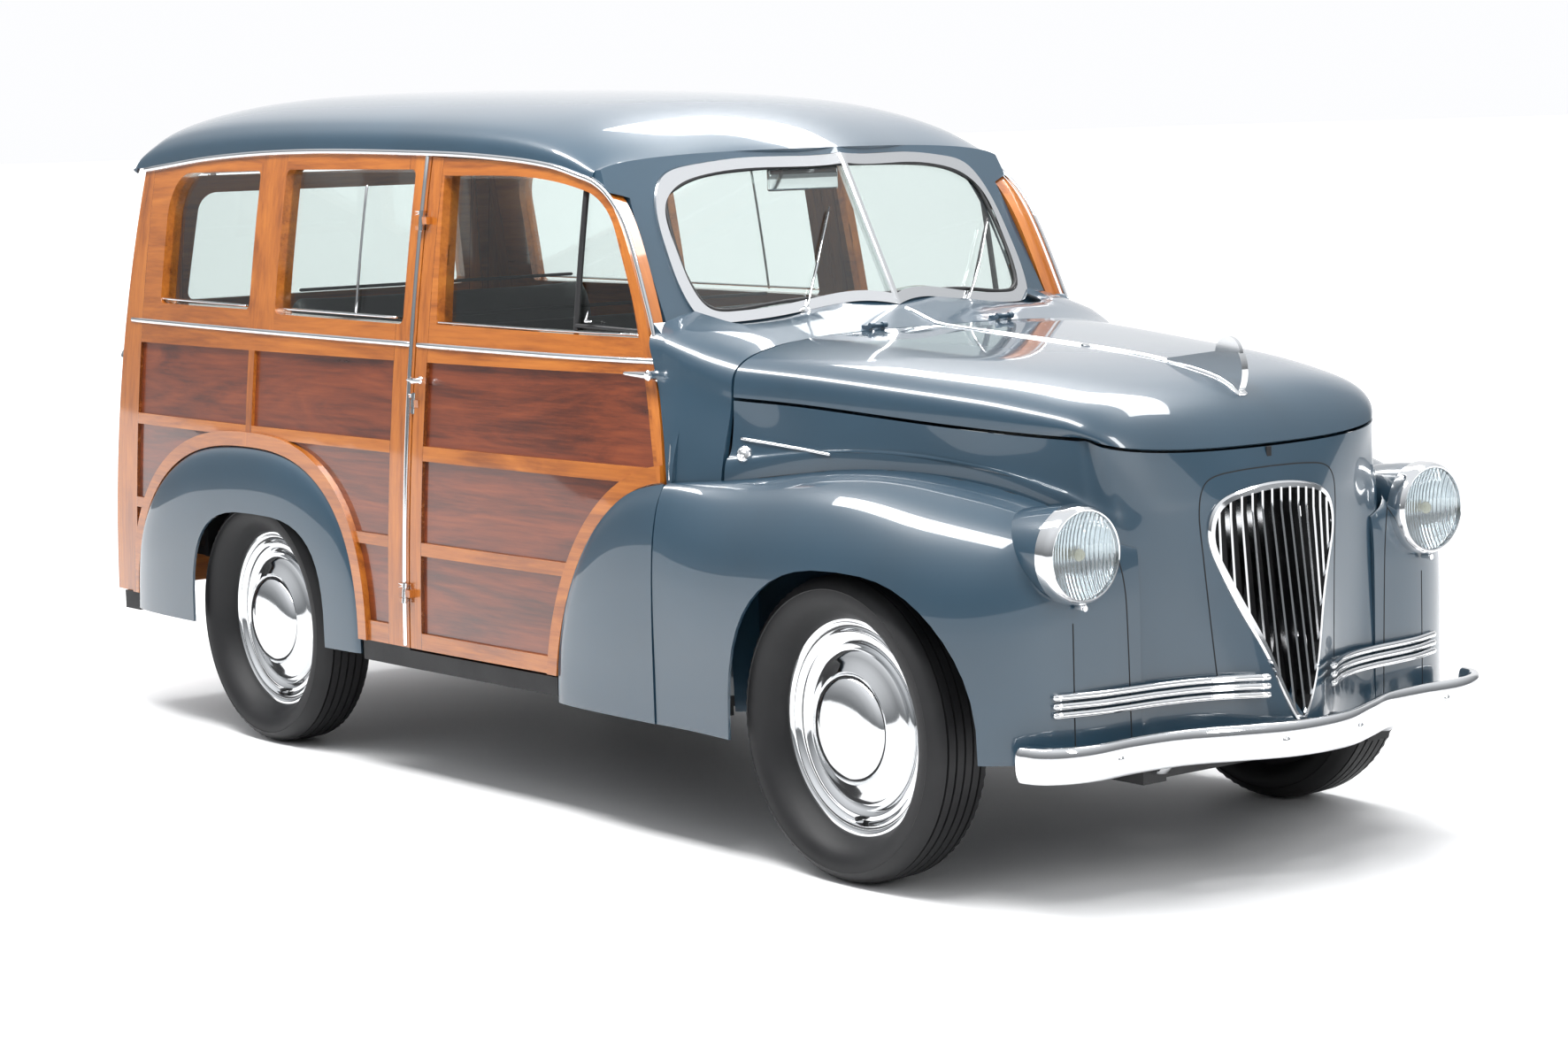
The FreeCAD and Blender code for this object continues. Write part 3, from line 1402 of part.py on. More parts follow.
def bench(x_front, x_back, seat_z, back_top_z, half_width, base_z):
    """A bench seat: cushion, leaning back and a plain base."""
    cushion = box((x_back, -half_width, seat_z - 130), (x_front, half_width, seat_z))
    top_edges = [edge for edge in cushion.Edges if edge.BoundBox.ZMin > seat_z - 1]
    cushion = cushion.makeFillet(45, top_edges)
    lean = 90.0
    profile = outline(in_side_view, (x_back + 20, seat_z - 140), [(x_back - lean, back_top_z - 50)],
                      [(x_back - lean - 40, back_top_z), (x_back - lean - 90, back_top_z - 40)],
                      [(x_back - 110, seat_z - 140)])
    back = across(profile, -half_width, half_width)
    base = box((x_back + 40, -half_width + 60, base_z), (x_front - 60, half_width - 60, seat_z - 120))
    return fuse([cushion, back, base])


def front_seat():
    """Front bench, its base split over the tunnel."""
    half = tunnel_half_width + tunnel_wall + seat_gap
    tunnel = box((-600, -half, floor_top_z), (200, half, tunnel_top_z + seat_gap))
    return bench(60, -380, 690, 1145, 560, floor_top_z + seat_gap).cut(tunnel)


def rear_seat():
    return bench(-740, -1170, 760, 1190, 490, load_floor_z + seat_gap)


steering_centre = V(215, 335, 1010)
steering_axis = V(-0.80, 0, 0.60)
steering_shaft_radius = 9.0


def steering_wheel():
    """Thin rim on three spokes and a round hub."""
    ring = Part.makeCylinder(206, 18, V(0, 0, -9)).cut(Part.makeCylinder(186, 18, V(0, 0, -9)))
    bore = Part.makeCylinder(steering_shaft_radius + hub_play, 60, V(0, 0, -48))
    pieces = [ring, Part.makeCylinder(34, 36, V(0, 0, -18))]
    for degrees in (0, 120, 240):
        spoke = box((20, -9, -6), (196, 9, 6))
        pieces.append(spoke.rotated(V(0, 0, 0), V(0, 0, 1), degrees))
    wheel_shape = fuse(pieces).cut(bore)
    tilt = FreeCAD.Rotation(V(0, 0, 1), steering_axis)
    return wheel_shape.rotated(V(0, 0, 0), tilt.Axis, math.degrees(tilt.Angle)).translated(steering_centre)


def tail_lamp(wood):
    """Round lamp on the right rear post, seated on the wood."""
    y, z = 598.0, 985.0
    lamp = cylinder(30, 34, V(rear_x(y, z) - 22, -y, z), V(1, 0, 0)).cut(wood)
    return min(lamp.Solids, key=lambda solid: solid.BoundBox.XMin)


def hood_ornament(hood_shell):
    """Swept disc on a pointed base at the front of the hood."""
    disc = cylinder(36, 10, V(1735, -5, 1082), V(0, 1, 0))
    base = outline(in_side_view, (1560, 1040), [(1690, 1030)], [(1765, 1000)], [(1780, 1040), (1770, 1085)],
                   [(1700, 1086)], [(1560, 1067)])
    ornament = fuse([disc, across(base, -9, 9)]).cut(hood_shell)
    return max(ornament.Solids, key=lambda solid: solid.BoundBox.ZMax)


def export(name, shape):
    """Write one node, checked and closed."""
    if not shape.isValid():
        print("not valid:", name)
    print(name, "solids", len(shape.Solids), "volume", round(shape.Volume / 1e6, 3), "litres")
    shape.exportStep("parts/" + name + ".step")


def build():
    os.makedirs("parts", exist_ok=True)
    right_door = {"door_frame": door_frame(), "door_panels": door_panels(),
                  "door_skirt": door_skirt(), "door_glass": door_glass()}
    panes = quarter_glass()
    roof_shell = roof()
    nose = nose_panel()
    hood_shell = hood()
    fender = front_fender(nose)
    right_quarter = quarter(roof_shell)
    posts = rear_frame(roof_shell)
    nodes = {
        "chassis_frame": chassis_frame(nose),
        "floor_pan": floor_pan(),
        "tunnel": tunnel(),
        "load_floor": load_floor(),
        "wheel_houses": both(wheel_house()),
        "sills": both(sill()),
        "bulkhead": bulkhead(),
        "engine_block": engine(),
        "radiator": radiator(),
        "front_axle": front_axle(),
        "rear_axle": rear_axle(),
        "leaf_springs": leaf_springs(),
        "quarter_right": right_quarter,
        "quarter_left": mirrored(right_quarter),
        "quarter_panels": both(quarter_panels()),
        "side_glass": Part.makeCompound(panes + [mirrored(pane) for pane in panes]),
        "rear_frame": posts,
        "roof": roof_shell,
        "cowl": cowl(roof_shell),
        "windshield_frame": windshield_frame(roof_shell),
        "windshield_glass": windshield_glass(),
        "nose_panel": nose,
        "front_fenders": both(fender),
        "rear_fenders": both(rear_fender()),
        "grille": grille(nose),
        "nose_bars": both(Part.makeCompound(nose_bars(nose, fender))),
        "front_bumper": bumper(),
        "headlamp_rims": both(headlamp_rim()),
        "headlamp_lenses": both(headlamp_lens()),
        "tail_lamps": both(tail_lamp([posts, right_quarter])),
        "front_seat": front_seat(),
        "rear_seat": rear_seat(),
        "steering_wheel": steering_wheel(),
        "hood": hood_shell,
        "hood_ornament": hood_ornament(hood_shell),
        "tailgate": tailgate(),
        "tailgate_panels": tailgate_panels(),
        "hatch": hatch(),
        "hatch_glass": hatch_glass(),
        "knuckle_right": knuckle(),
        "knuckle_left": mirrored(knuckle()),
    }
    for end, x in (("front", front_axle_x), ("rear", rear_axle_x)):
        centre = V(x, -wheel_track / 2, tyre_radius)
        for name, shape in (("tyre", tyre(centre)), ("wheel", wheel(centre))):
            nodes[name + "_" + end + "_right"] = shape
            nodes[name + "_" + end + "_left"] = mirrored(shape)
    for name, shape in right_door.items():
        nodes[name + "_right"] = shape
        nodes[name + "_left"] = mirrored(shape)
    for name, shape in nodes.items():
        export(name, shape)


build()
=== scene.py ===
# %% [markdown]
# # A wood-bodied station wagon, dressed round its imported model
# The solids already hold the size, the panels and the hinges. This lesson gives them their looks:
# lacquered sheet steel, varnished ash frames with mahogany panels, bright trim, glass, tyres and leather
# benches. The first cell loads the imported model.

# %% Load the frame
import bpy, bmesh, json, math
from mathutils import Matrix, Vector
from mathutils.bvhtree import BVHTree


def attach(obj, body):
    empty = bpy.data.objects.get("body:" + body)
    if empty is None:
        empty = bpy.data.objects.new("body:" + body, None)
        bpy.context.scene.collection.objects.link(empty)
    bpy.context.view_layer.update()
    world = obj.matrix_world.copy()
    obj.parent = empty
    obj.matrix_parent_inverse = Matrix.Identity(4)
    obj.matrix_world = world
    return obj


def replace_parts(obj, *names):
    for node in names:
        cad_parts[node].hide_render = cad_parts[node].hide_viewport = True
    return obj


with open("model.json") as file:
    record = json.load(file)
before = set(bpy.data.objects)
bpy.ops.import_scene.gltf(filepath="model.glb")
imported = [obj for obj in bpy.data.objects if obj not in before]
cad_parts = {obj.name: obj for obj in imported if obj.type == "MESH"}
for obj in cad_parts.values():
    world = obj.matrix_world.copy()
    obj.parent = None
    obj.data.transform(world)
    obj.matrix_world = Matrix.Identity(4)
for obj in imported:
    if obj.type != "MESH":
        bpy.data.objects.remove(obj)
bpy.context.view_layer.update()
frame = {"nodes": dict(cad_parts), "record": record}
nodes = frame["nodes"]
body_of_node = {}
for body, names in frame["record"]["behaviour"]["bodies"].items():
    body_of_node.update(dict.fromkeys(names, body))

# %% [markdown]
# ## Shader sums as plain expressions
# A wood grain is a sum of stretched noises, and such sums are hard to read as boxes and wires. Signal
# wraps one output socket and gives it Python's operators, so that an expression adds its own Math nodes.
# Finish makes a material, and its node method makes every other node: settings first, then the values or
# links of its sockets.

# %% Signal and Finish
class Signal:
    """One output socket, with Python's operators."""

    def __init__(self, network, socket):
        self.network, self.socket = network, socket

    def sum(self, operation, *others):
        """This value and others through one Math node, this value first."""
        return self.network.node("ShaderNodeMath", {"operation": operation}, dict(enumerate((self, *others))))

    def __add__(self, other): return self.sum("ADD", other)
    def __radd__(self, other): return self.sum("ADD", other)
    def __sub__(self, other): return self.sum("SUBTRACT", other)
    def __rsub__(self, other): return self.sum("MULTIPLY_ADD", -1.0, other)
    def __mul__(self, other): return self.sum("MULTIPLY", other)
    def __rmul__(self, other): return self.sum("MULTIPLY", other)
    def __gt__(self, other): return self.sum("GREATER_THAN", other)
    def __lt__(self, other): return self.sum("LESS_THAN", other)
    def __abs__(self): return self.sum("ABSOLUTE")


class Network:
    """The nodes of one material or world."""

    def __init__(self, tree):
        self.tree = tree

    def node(self, kind, settings=None, sockets=None, out=0):
        made = self.tree.nodes.new(kind)
        for key, value in (settings or {}).items():
            if key == "stops":
                ramp = made.color_ramp
                while len(ramp.elements) < len(value):
                    ramp.elements.new(1.0)
                for element, (place, colour) in zip(ramp.elements, value):
                    element.position, element.color = place, (*colour, 1.0)
            else:
                setattr(made, key, value)
        for key, value in (sockets or {}).items():
            if isinstance(value, Signal):
                self.tree.links.new(value.socket, made.inputs[key])
            else:
                made.inputs[key].default_value = value
        return Signal(self, made.outputs[out])

    def spot(self, kind="Object"):
        """The place of a surface point, in metres, as one vector."""
        return self.node("ShaderNodeTexCoord", out=kind)

    def place(self, kind="Object"):
        """The three coordinates of that place."""
        spot = self.spot(kind)
        return [self.node("ShaderNodeSeparateXYZ", sockets={0: spot}, out=i) for i in range(3)]

    def at(self, x, y, z):
        return self.node("ShaderNodeCombineXYZ", sockets={0: x, 1: y, 2: z})

    def noise(self, spot, scale, detail=4.0, rough=0.55, warp=0.0):
        return self.node("ShaderNodeTexNoise", sockets={"Vector": spot, "Scale": scale, "Detail": detail,
                                                       "Roughness": rough, "Distortion": warp})

    def ramp(self, value, *stops):
        return self.node("ShaderNodeValToRGB", {"stops": stops}, {0: value})

    def blend(self, share, one, other):
        return self.node("ShaderNodeMix", {"data_type": "RGBA"}, {0: share, 6: one, 7: other}, out=2)


class Finish(Network):
    """A material, which also keeps a slot name."""

    def __init__(self, name, slot=None, **values):
        self.material = bpy.data.materials.new(name)
        self.material.use_nodes = True
        super().__init__(self.material.node_tree)
        self.slot = slot or name
        self.surface = self.tree.nodes["Principled BSDF"]
        self.output = self.tree.nodes["Material Output"]
        for socket, value in values.items():
            self.set(socket.replace("_", " "), value)

    def set(self, socket, value):
        entry = self.surface.inputs[socket]
        if isinstance(value, Signal):
            self.tree.links.new(value.socket, entry)
        elif isinstance(value, (tuple, list)):
            entry.default_value = (*value, 1.0)[:4] if len(entry.default_value) == 4 else value
        else:
            entry.default_value = value
        return self

    def clouded(self, scale, low, high, detail=4.0):
        """A colour that wanders between two shades, each given with its place in the noise."""
        return self.set("Base Color", self.ramp(self.noise(self.spot(), scale, detail), low, high))

    def bump(self, height, depth, strength=1.0):
        sockets = {"Strength": strength, "Distance": depth, "Height": height}
        return self.set("Normal", self.node("ShaderNodeBump", sockets=sockets))

    def mottled(self, scale, spread, least):
        """Roughness that wanders over the surface, from a least value."""
        return self.set("Roughness", self.noise(self.spot(), scale) * spread + least)

    def pebbled(self, scale, depth, strength, detail=4.0):
        """A surface that is uneven in fine detail."""
        return self.bump(self.noise(self.spot(), scale, detail), depth, strength)


def between(value, low, high):
    return (value > low) * (value < high)


print("shader helpers ready")

# %% [markdown]
# ## Paint, chrome and rubber
# The steel is a solid blue-grey lacquer under clear coat: the colour layer is soft, the coat is sharp,
# and a faint waviness keeps long reflections from looking ruled. Chrome is nearly a mirror, so its life
# comes from tiny changes of roughness, as polish and fingertips leave. Rubber is dark, with dust that
# wanders over it at random.

# %% Metals and rubber
def lacquer(name, colour):
    """Paint under a sharp clear coat."""
    made = Finish(name, Roughness=0.34, Coat_Weight=1.0, Coat_Roughness=0.035, Coat_IOR=1.5)
    deep, pale = [c * 0.90 for c in colour], [c * 1.10 for c in colour]
    made.clouded(2.2, (0.3, deep), (0.7, pale), 3.0)
    return made.pebbled(85.0, 0.00035, 0.10, 2.0)


def bright(name, colour, least_rough):
    """Polished metal."""
    made = Finish(name, Metallic=1.0, Base_Color=colour)
    made.set("Roughness", made.noise(made.spot(), 30.0, 5.0) * 0.07 + least_rough)
    return made.pebbled(140.0, 0.0002, 0.06, 3.0)


paint = lacquer("body_paint", (0.016, 0.045, 0.073))
dash_paint = lacquer("dash_paint", (0.020, 0.050, 0.080))
chrome = bright("bright_trim", (0.80, 0.81, 0.82), 0.04)
wheel_chrome = bright("wheel_chrome", (0.83, 0.84, 0.85), 0.05)

underside = Finish("underside_paint", Base_Color=(0.012, 0.012, 0.013))
underside.mottled(9.0, 0.3, 0.45).pebbled(120.0, 0.0006, 0.4)
engine_paint = Finish("engine_paint", Base_Color=(0.05, 0.055, 0.06)).mottled(25.0, 0.3, 0.3)

core_black = Finish("radiator_black", Roughness=0.6)
# Painted highlight and painted shade: stripes of lighter fin edges and darker gaps between the fins, as colour
# on the flat core.
fin_light_and_shade = abs((core_black.place()[2] * 900.0).sum("SINE"))
fin_shade_stops = ((0.0, (0.004, 0.004, 0.004)), (1.0, (0.030, 0.030, 0.032)))
core_black.set("Base Color", core_black.ramp(fin_light_and_shade, *fin_shade_stops))

rubber = Finish("tyre_rubber", Specular_IOR_Level=0.35)
dust = rubber.noise(rubber.spot(), 6.0, 6.0)
rubber.set("Base Color", rubber.ramp(dust, (0.35, (0.010, 0.010, 0.011)), (0.75, (0.022, 0.022, 0.023))))
rubber.set("Roughness", dust * 0.25 + 0.42)
rubber.pebbled(260.0, 0.0003, 0.35)

gasket = Finish("gasket_rubber", "tyre_rubber", Base_Color=(0.012, 0.012, 0.013)).mottled(60.0, 0.2, 0.4)
print("metals and rubber ready")

# %% [markdown]
# ## Varnished wood
# Grain runs along each stick of the frame, so a post and a rail that meet show their joint. The shader
# knows where the posts stand: inside their ranges the noise is stretched upwards, elsewhere it runs along
# the rail, and in the windshield pillar it follows the slant. The panels are darker, with long figure,
# under thick varnish.

# %% Woods
def grain(made, along, over, deep, seed):
    """Fine fibres and broad figure of one board, stretched along its length."""
    spot = made.at(along * 1.1 + seed, over * 26.0, deep * 26.0)
    figure = made.noise(made.at(along * 0.9 + seed, over * 7.0, deep * 7.0), 1.6, 5.0, 0.6, 1.3)
    fibre = made.noise(spot, 4.0, 6.0, 0.7)
    return figure * 0.62 + fibre * 0.38


def bare_wood(name, slot, sharpness=0.05):
    return Finish(name, slot, Coat_Weight=1.0, Coat_Roughness=sharpness, Coat_IOR=1.5)


def varnish(made, shade, stops, pores=0.10):
    """Colour, gloss and open pores, all from the shade of the grain."""
    made.set("Base Color", made.ramp(shade, *stops))
    made.set("Roughness", shade * 0.16 + 0.22)
    return made.bump(shade, 0.0006, pores)


joint_half, joint_depth = 0.0009, 0.22
frame_stops = (
    (0.26, (0.115, 0.027, 0.0035)), (0.42, (0.270, 0.072, 0.0075)), (0.52, (0.385, 0.112, 0.0115)),
    (0.64, (0.475, 0.152, 0.0175)), (0.80, (0.290, 0.080, 0.0080)))
panel_stops = (
    (0.28, (0.026, 0.0052, 0.0018)), (0.42, (0.090, 0.0165, 0.0042)), (0.52, (0.158, 0.030, 0.0066)),
    (0.62, (0.215, 0.045, 0.0095)), (0.78, (0.086, 0.017, 0.0042)))


def highest(first, *others):
    """The highest of several signals."""
    for other in others:
        first = first.sum("MAXIMUM", other)
    return first


def side_wood(name):
    """The frame of the sides, with upright grain in its posts and slanting grain in the pillar."""
    made = bare_wood(name, "frame_wood")
    x, y, z = made.place()
    window_post = between(x, -1.205, -1.062) * (z > 1.090)
    panel_post = between(x, -1.192, -1.160) * (z < 1.036)
    posts = highest(x < -1.853, window_post, panel_post, between(x, -0.446, -0.294))
    slant = (((x - 0.526) + (z - 1.117) * 0.42) > 0.0) * (z < 1.500)
    upright = grain(made, z, x, y, 3.7)
    level = grain(made, x, z, y, 0.0)
    pillar = grain(made, x * -0.39 + z * 0.92, x * 0.92 + z * 0.39, y, 9.1)
    shade = upright * posts + level * (1.0 - posts)
    shade = pillar * slant + shade * (1.0 - slant)
    joints = highest(*(abs(x + line) < joint_half for line in (1.853, 0.446, 0.294)))
    return varnish(made, shade - joints * joint_depth, frame_stops)


def rear_wood(name, posts_from):
    """The frames of the rear, with upright grain beyond a half width and in the middle post."""
    made = bare_wood(name, "frame_wood")
    x, y, z = made.place()
    posts = highest(abs(y) > posts_from, (abs(y) < 0.018) * (z < 1.030))
    shade = grain(made, z, y, x, 5.2) * posts + grain(made, y, z, x, 1.4) * (1.0 - posts)
    joints = abs(abs(y) - posts_from) < joint_half
    return varnish(made, shade - joints * joint_depth, frame_stops)


def panel_wood(name, axis):
    made = bare_wood(name, "panel_wood", 0.04)
    x, y, z = made.place()
    along, over = (x, y) if axis == "x" else (y, x)
    return varnish(made, grain(made, along, z, over, 2.0), panel_stops, 0.05)


wood = side_wood("frame_wood")
gate_wood = rear_wood("gate_wood", 0.480)
corner_wood = rear_wood("corner_wood", 0.545)
mahogany = panel_wood("panel_wood", "x")
gate_mahogany = panel_wood("gate_panel_wood", "y")
print("woods ready")

# %% [markdown]
# ## Glass, leather, lamps and plastics
# Window glass is a thin clear sheet: a Transparent shader with a faint green tint lets light into the cabin,
# where solid glass would cast a dark shadow. A sharp Glossy is mixed in, more where the glass is seen at a
# slant. Leather has pebbles from a Voronoi net, and the lamp lens has upright flutes.

# %% Glass, leather and lenses
def sheet_glass(name, tint, flute=0.0):
    """Clear tinted glass. A flute height, in metres, ripples its gloss."""
    made = Finish(name)
    clear = made.node("ShaderNodeBsdfTransparent", sockets={0: (*tint, 1.0)})
    gloss = made.node("ShaderNodeBsdfAnisotropic", sockets={"Color": (1.0, 1.0, 1.0, 1.0), "Roughness": 0.02})
    if flute:
        ripple = (made.place()[1] * 520.0).sum("SINE")
        bend = made.node("ShaderNodeBump", sockets={"Strength": 0.8, "Distance": flute, "Height": ripple})
        made.tree.links.new(bend.socket, gloss.socket.node.inputs["Normal"])
    facing = made.node("ShaderNodeLayerWeight", sockets={"Blend": 0.5}, out="Facing")
    share = facing * facing * facing * facing * 0.75 + 0.05
    shown = made.node("ShaderNodeMixShader", sockets={0: share, 1: clear, 2: gloss})
    made.tree.links.new(shown.socket, made.output.inputs["Surface"])
    made.tree.nodes.remove(made.surface)
    return made


glass = sheet_glass("window_glass", (0.90, 0.93, 0.92))
lens = sheet_glass("lamp_glass", (0.86, 0.89, 0.90), 0.002)
silver = Finish("lamp_silver", "lamp_glass", Metallic=1.0, Base_Color=(0.78, 0.79, 0.80), Roughness=0.16)
silver.bump((silver.place()[1] * 620.0).sum("SINE"), 0.0016, 0.7)

red_lens = Finish("red_lens", Base_Color=(0.42, 0.012, 0.012), Roughness=0.12, Coat_Weight=1.0)
_, red_y, red_z = red_lens.place()
red_lens.bump((red_y * 700.0).sum("SINE") * (red_z * 700.0).sum("SINE"), 0.001, 0.8)

leather = Finish("seat_leather", Base_Color=(0.016, 0.016, 0.018), Specular_IOR_Level=0.45)
pebbles = leather.node("ShaderNodeTexVoronoi", {"feature": "DISTANCE_TO_EDGE"},
                       {"Vector": leather.spot(), "Scale": 260.0})
leather.clouded(7.0, (0.3, (0.012, 0.012, 0.013)), (0.8, (0.030, 0.030, 0.033)))
leather.mottled(40.0, 0.2, 0.38).bump(pebbles, 0.0016, 0.5)

ivory = Finish("steering_plastic", Roughness=0.22, Coat_Weight=0.5)
ivory.clouded(14.0, (0.3, (0.50, 0.45, 0.32)), (0.8, (0.62, 0.57, 0.43)))

lining = Finish("roof_lining", "seat_leather", Roughness=0.9)
lining.clouded(300.0, (0.3, (0.16, 0.15, 0.135)), (0.7, (0.24, 0.225, 0.20))).pebbled(500.0, 0.0005, 0.5)

void_black = Finish("shadow_black", "tyre_rubber", Base_Color=(0.004, 0.004, 0.005)).mottled(50.0, 0.1, 0.7)
print("glass, leather and lenses ready")

# %% [markdown]
# ## Smooth skins over the solids
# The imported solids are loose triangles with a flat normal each, and gloss shows every one. For each
# pressed or turned piece a merged copy is made: its corners are welded, edges that really turn stay
# sharp, and the rest share their normals, weighted by face area so that flat runs stay flat. The copy
# stands for the node.

# %% Merged copies
weld = 0.00004  # Corners that are closer than this, in metres, are one corner.


def as_object(name, bm):
    """An object at the origin from finished mesh work."""
    mesh = bpy.data.meshes.new(name)
    bm.to_mesh(mesh)
    bm.free()
    piece = bpy.data.objects.new(name, mesh)
    bpy.context.collection.objects.link(piece)
    return piece


def placed(name, bm, finish, body, sharp=35.0):
    """A visible piece with its finish, slot and body. Edges that turn less than sharp degrees are smooth."""
    for face in bm.faces:
        face.smooth = True
    for edge in bm.edges:
        if len(edge.link_faces) == 2:
            edge.smooth = edge.calc_face_angle(0.0) < math.radians(sharp)
    piece = as_object(name, bm)
    piece.data.materials.append(finish.material)
    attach(piece, body)
    return piece


def merged(node, finish):
    """A smooth copy of a node that stands for it."""
    bm = bmesh.new()
    bm.from_mesh(nodes[node].data)
    bmesh.ops.remove_doubles(bm, verts=bm.verts, dist=weld)
    bmesh.ops.dissolve_degenerate(bm, edges=bm.edges, dist=weld)
    piece = placed(node + "_skin", bm, finish, body_of_node[node], 28.0)
    weighted = piece.modifiers.new("weighted", "WEIGHTED_NORMAL")
    weighted.keep_sharp = True
    weighted.weight = 60
    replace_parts(piece, node)
    return piece


print("corners are welded below", round(weld * 1e6), "micrometres")

# %% [markdown]
# ## Pressed panels as subdivision surfaces
# A press makes a sheet that flows without a break, so the panels that catch the long reflections are made
# as Catmull-Clark surfaces. The cage is a grid that stands on the same stations as the solids. Such a
# surface shrinks away from its cage, so the cage is moved out by what is missing, five times over, until
# the surface passes through every station. This first cell writes the stations down: rows of points, in
# millimetres.

# %% Stations of the body, in millimetres
def smooth_line(points, per_span=8):
    """A Catmull-Rom line through a row of points."""
    points = [Vector(point) for point in points]
    ends = [points[0] * 2 - points[1]] + points + [points[-1] * 2 - points[-2]]
    line = []
    for before, start, end, after in zip(ends, ends[1:], ends[2:], ends[3:]):
        for step in range(per_span):
            t = step / per_span
            bend = 2 * before - 5 * start + 4 * end - after
            twist = 3 * start - before - 3 * end + after
            line.append(0.5 * ((2 * start) + (end - before) * t + bend * t ** 2 + twist * t ** 3))
    return line + [points[-1]]


def smoothstep(value, low, high):
    """0 up to low, 1 from high on, and a soft rise between them."""
    t = min(max((value - low) / (high - low), 0.0), 1.0)
    return t * t * (3 - 2 * t)


side_half_width, side_lean, side_bow, plan_bow, widest_x = 736.0, 0.018, 14836.0, 52000.0, -430.0
pinch_x, pinch_reach = 100.0, 6500.0
foot_z, fender_half_width, skirt_z, skirt_centre_x = 300.0, 748.0, 276.0, 700.0


def side_y(x, z):
    """Half width of the wooden body at a station and height."""
    height = z - foot_z
    pinch = max(x - pinch_x, 0.0) ** 2 / pinch_reach * smoothstep(z, 800.0, 1150.0)
    return (side_half_width - side_lean * height - height ** 2 / side_bow - (x - widest_x) ** 2 / plan_bow
            - pinch)


rail_stations = [
    (-1912, 1516), (-1448, 1546), (-954, 1555), (-373, 1543), (-71, 1529), (155, 1508), (305, 1476)]
pillar_stations = [
    (305, 1476), (365, 1446), (423, 1396), (459, 1346), (496, 1277), (550, 1160), (590, 1061), (640, 940),
    (683, 808)]
rail_line = smooth_line([(x, 0, z) for x, z in rail_stations])


def rail_z(x):
    """Height of the drip rail at a station."""
    x = min(max(x, rail_line[0].x), rail_line[-1].x)
    for one, other in zip(rail_line, rail_line[1:]):
        if one.x <= x <= other.x:
            return one.z + (other.z - one.z) * (x - one.x) / (other.x - one.x)


def squared(degrees, power):
    """How far across, and how far up, a squared arc has come at an angle from its crown."""
    angle = math.radians(degrees)
    spread = math.copysign(abs(math.sin(angle)) ** (2 / power), degrees)
    return spread, math.cos(angle) ** (2 / power) if abs(degrees) < 90 else 0.0


roof_rear_x, roof_length = -1947.0, 2405.0
roof_crown = [
    (-1947, 1528), (-1940, 1580), (-1915, 1620), (-1860, 1655), (-1760, 1680), (-1480, 1699),
    (-1049, 1698), (-500, 1684), (-100, 1664), (150, 1638), (320, 1596), (420, 1550), (458, 1526)]


def roof_rows(inset=0.0):
    """Cross sections of the roof. An inset gives the lining below it."""
    rows = []
    for x, crown in roof_crown:
        share = (x - roof_rear_x) / roof_length
        row = []
        for degrees in (-90, -82, -72, -58, -40, -20, 0, 20, 40, 58, 72, 82, 90):
            spread, rise = squared(degrees, 2.7)
            sweep = 134.4 * abs(spread) * share + 35.0 * (1 - rise) * (1 - share)
            px = x - sweep + inset * (1 - 2 * share)
            edge_z = rail_z(px)
            z = edge_z + (crown - edge_z) * rise * (1 - inset / 150.0)
            row.append((px, (side_y(px, edge_z) + 4.0 - inset) * spread, z))
        rows.append(row)
    return rows


# Each hood station: x, y and z of its edge, x and z of its crown, and how square the arc between them is.
hood_stations = [
    (822, 600, 994, 822, 1117, 3.5), (1030, 567, 985, 1034, 1103, 3.4), (1252, 530, 969, 1265, 1087, 3.2),
    (1450, 496, 955, 1490, 1069, 3.0), (1590, 468, 947, 1645, 1046, 2.8),
    (1670, 447, 943, 1738, 1020, 2.7), (1706, 432, 941, 1792, 978, 2.6), (1724, 418, 939, 1822, 937, 2.5),
    (1735, 405, 938, 1840, 902, 2.4)]
hood_angles = (-90, -80, -68, -54, -38, -20, 0, 20, 38, 54, 68, 80, 90)


def hood_row(station, drop=0.0):
    """One cross section of the hood."""
    xe, ye, ze, xc, zc, power = station
    return [(xe + (xc - xe) * rise, ye * spread, ze + (zc - ze) * rise - drop)
            for spread, rise in (squared(degrees, power) for degrees in hood_angles)]


nose_foot_z = 304.0
nose_waist = [
    (826, 636, 815), (905, 606, 823), (1100, 575, 848), (1290, 545, 858), (1450, 507, 847),
    (1590, 482, 826), (1685, 460, 800), (1722, 443, 785), (1748, 428, 768), (1765, 412, 755)]
prow_waist = [
    (1795, 372, 740), (1808, 318, 735), (1830, 240, 745), (1850, 165, 755), (1868, 85, 765),
    (1874, 0, 770)]
prow_foot = [(1812, 352), (1820, 300), (1838, 225), (1870, 155), (1918, 80), (1940, 0)]


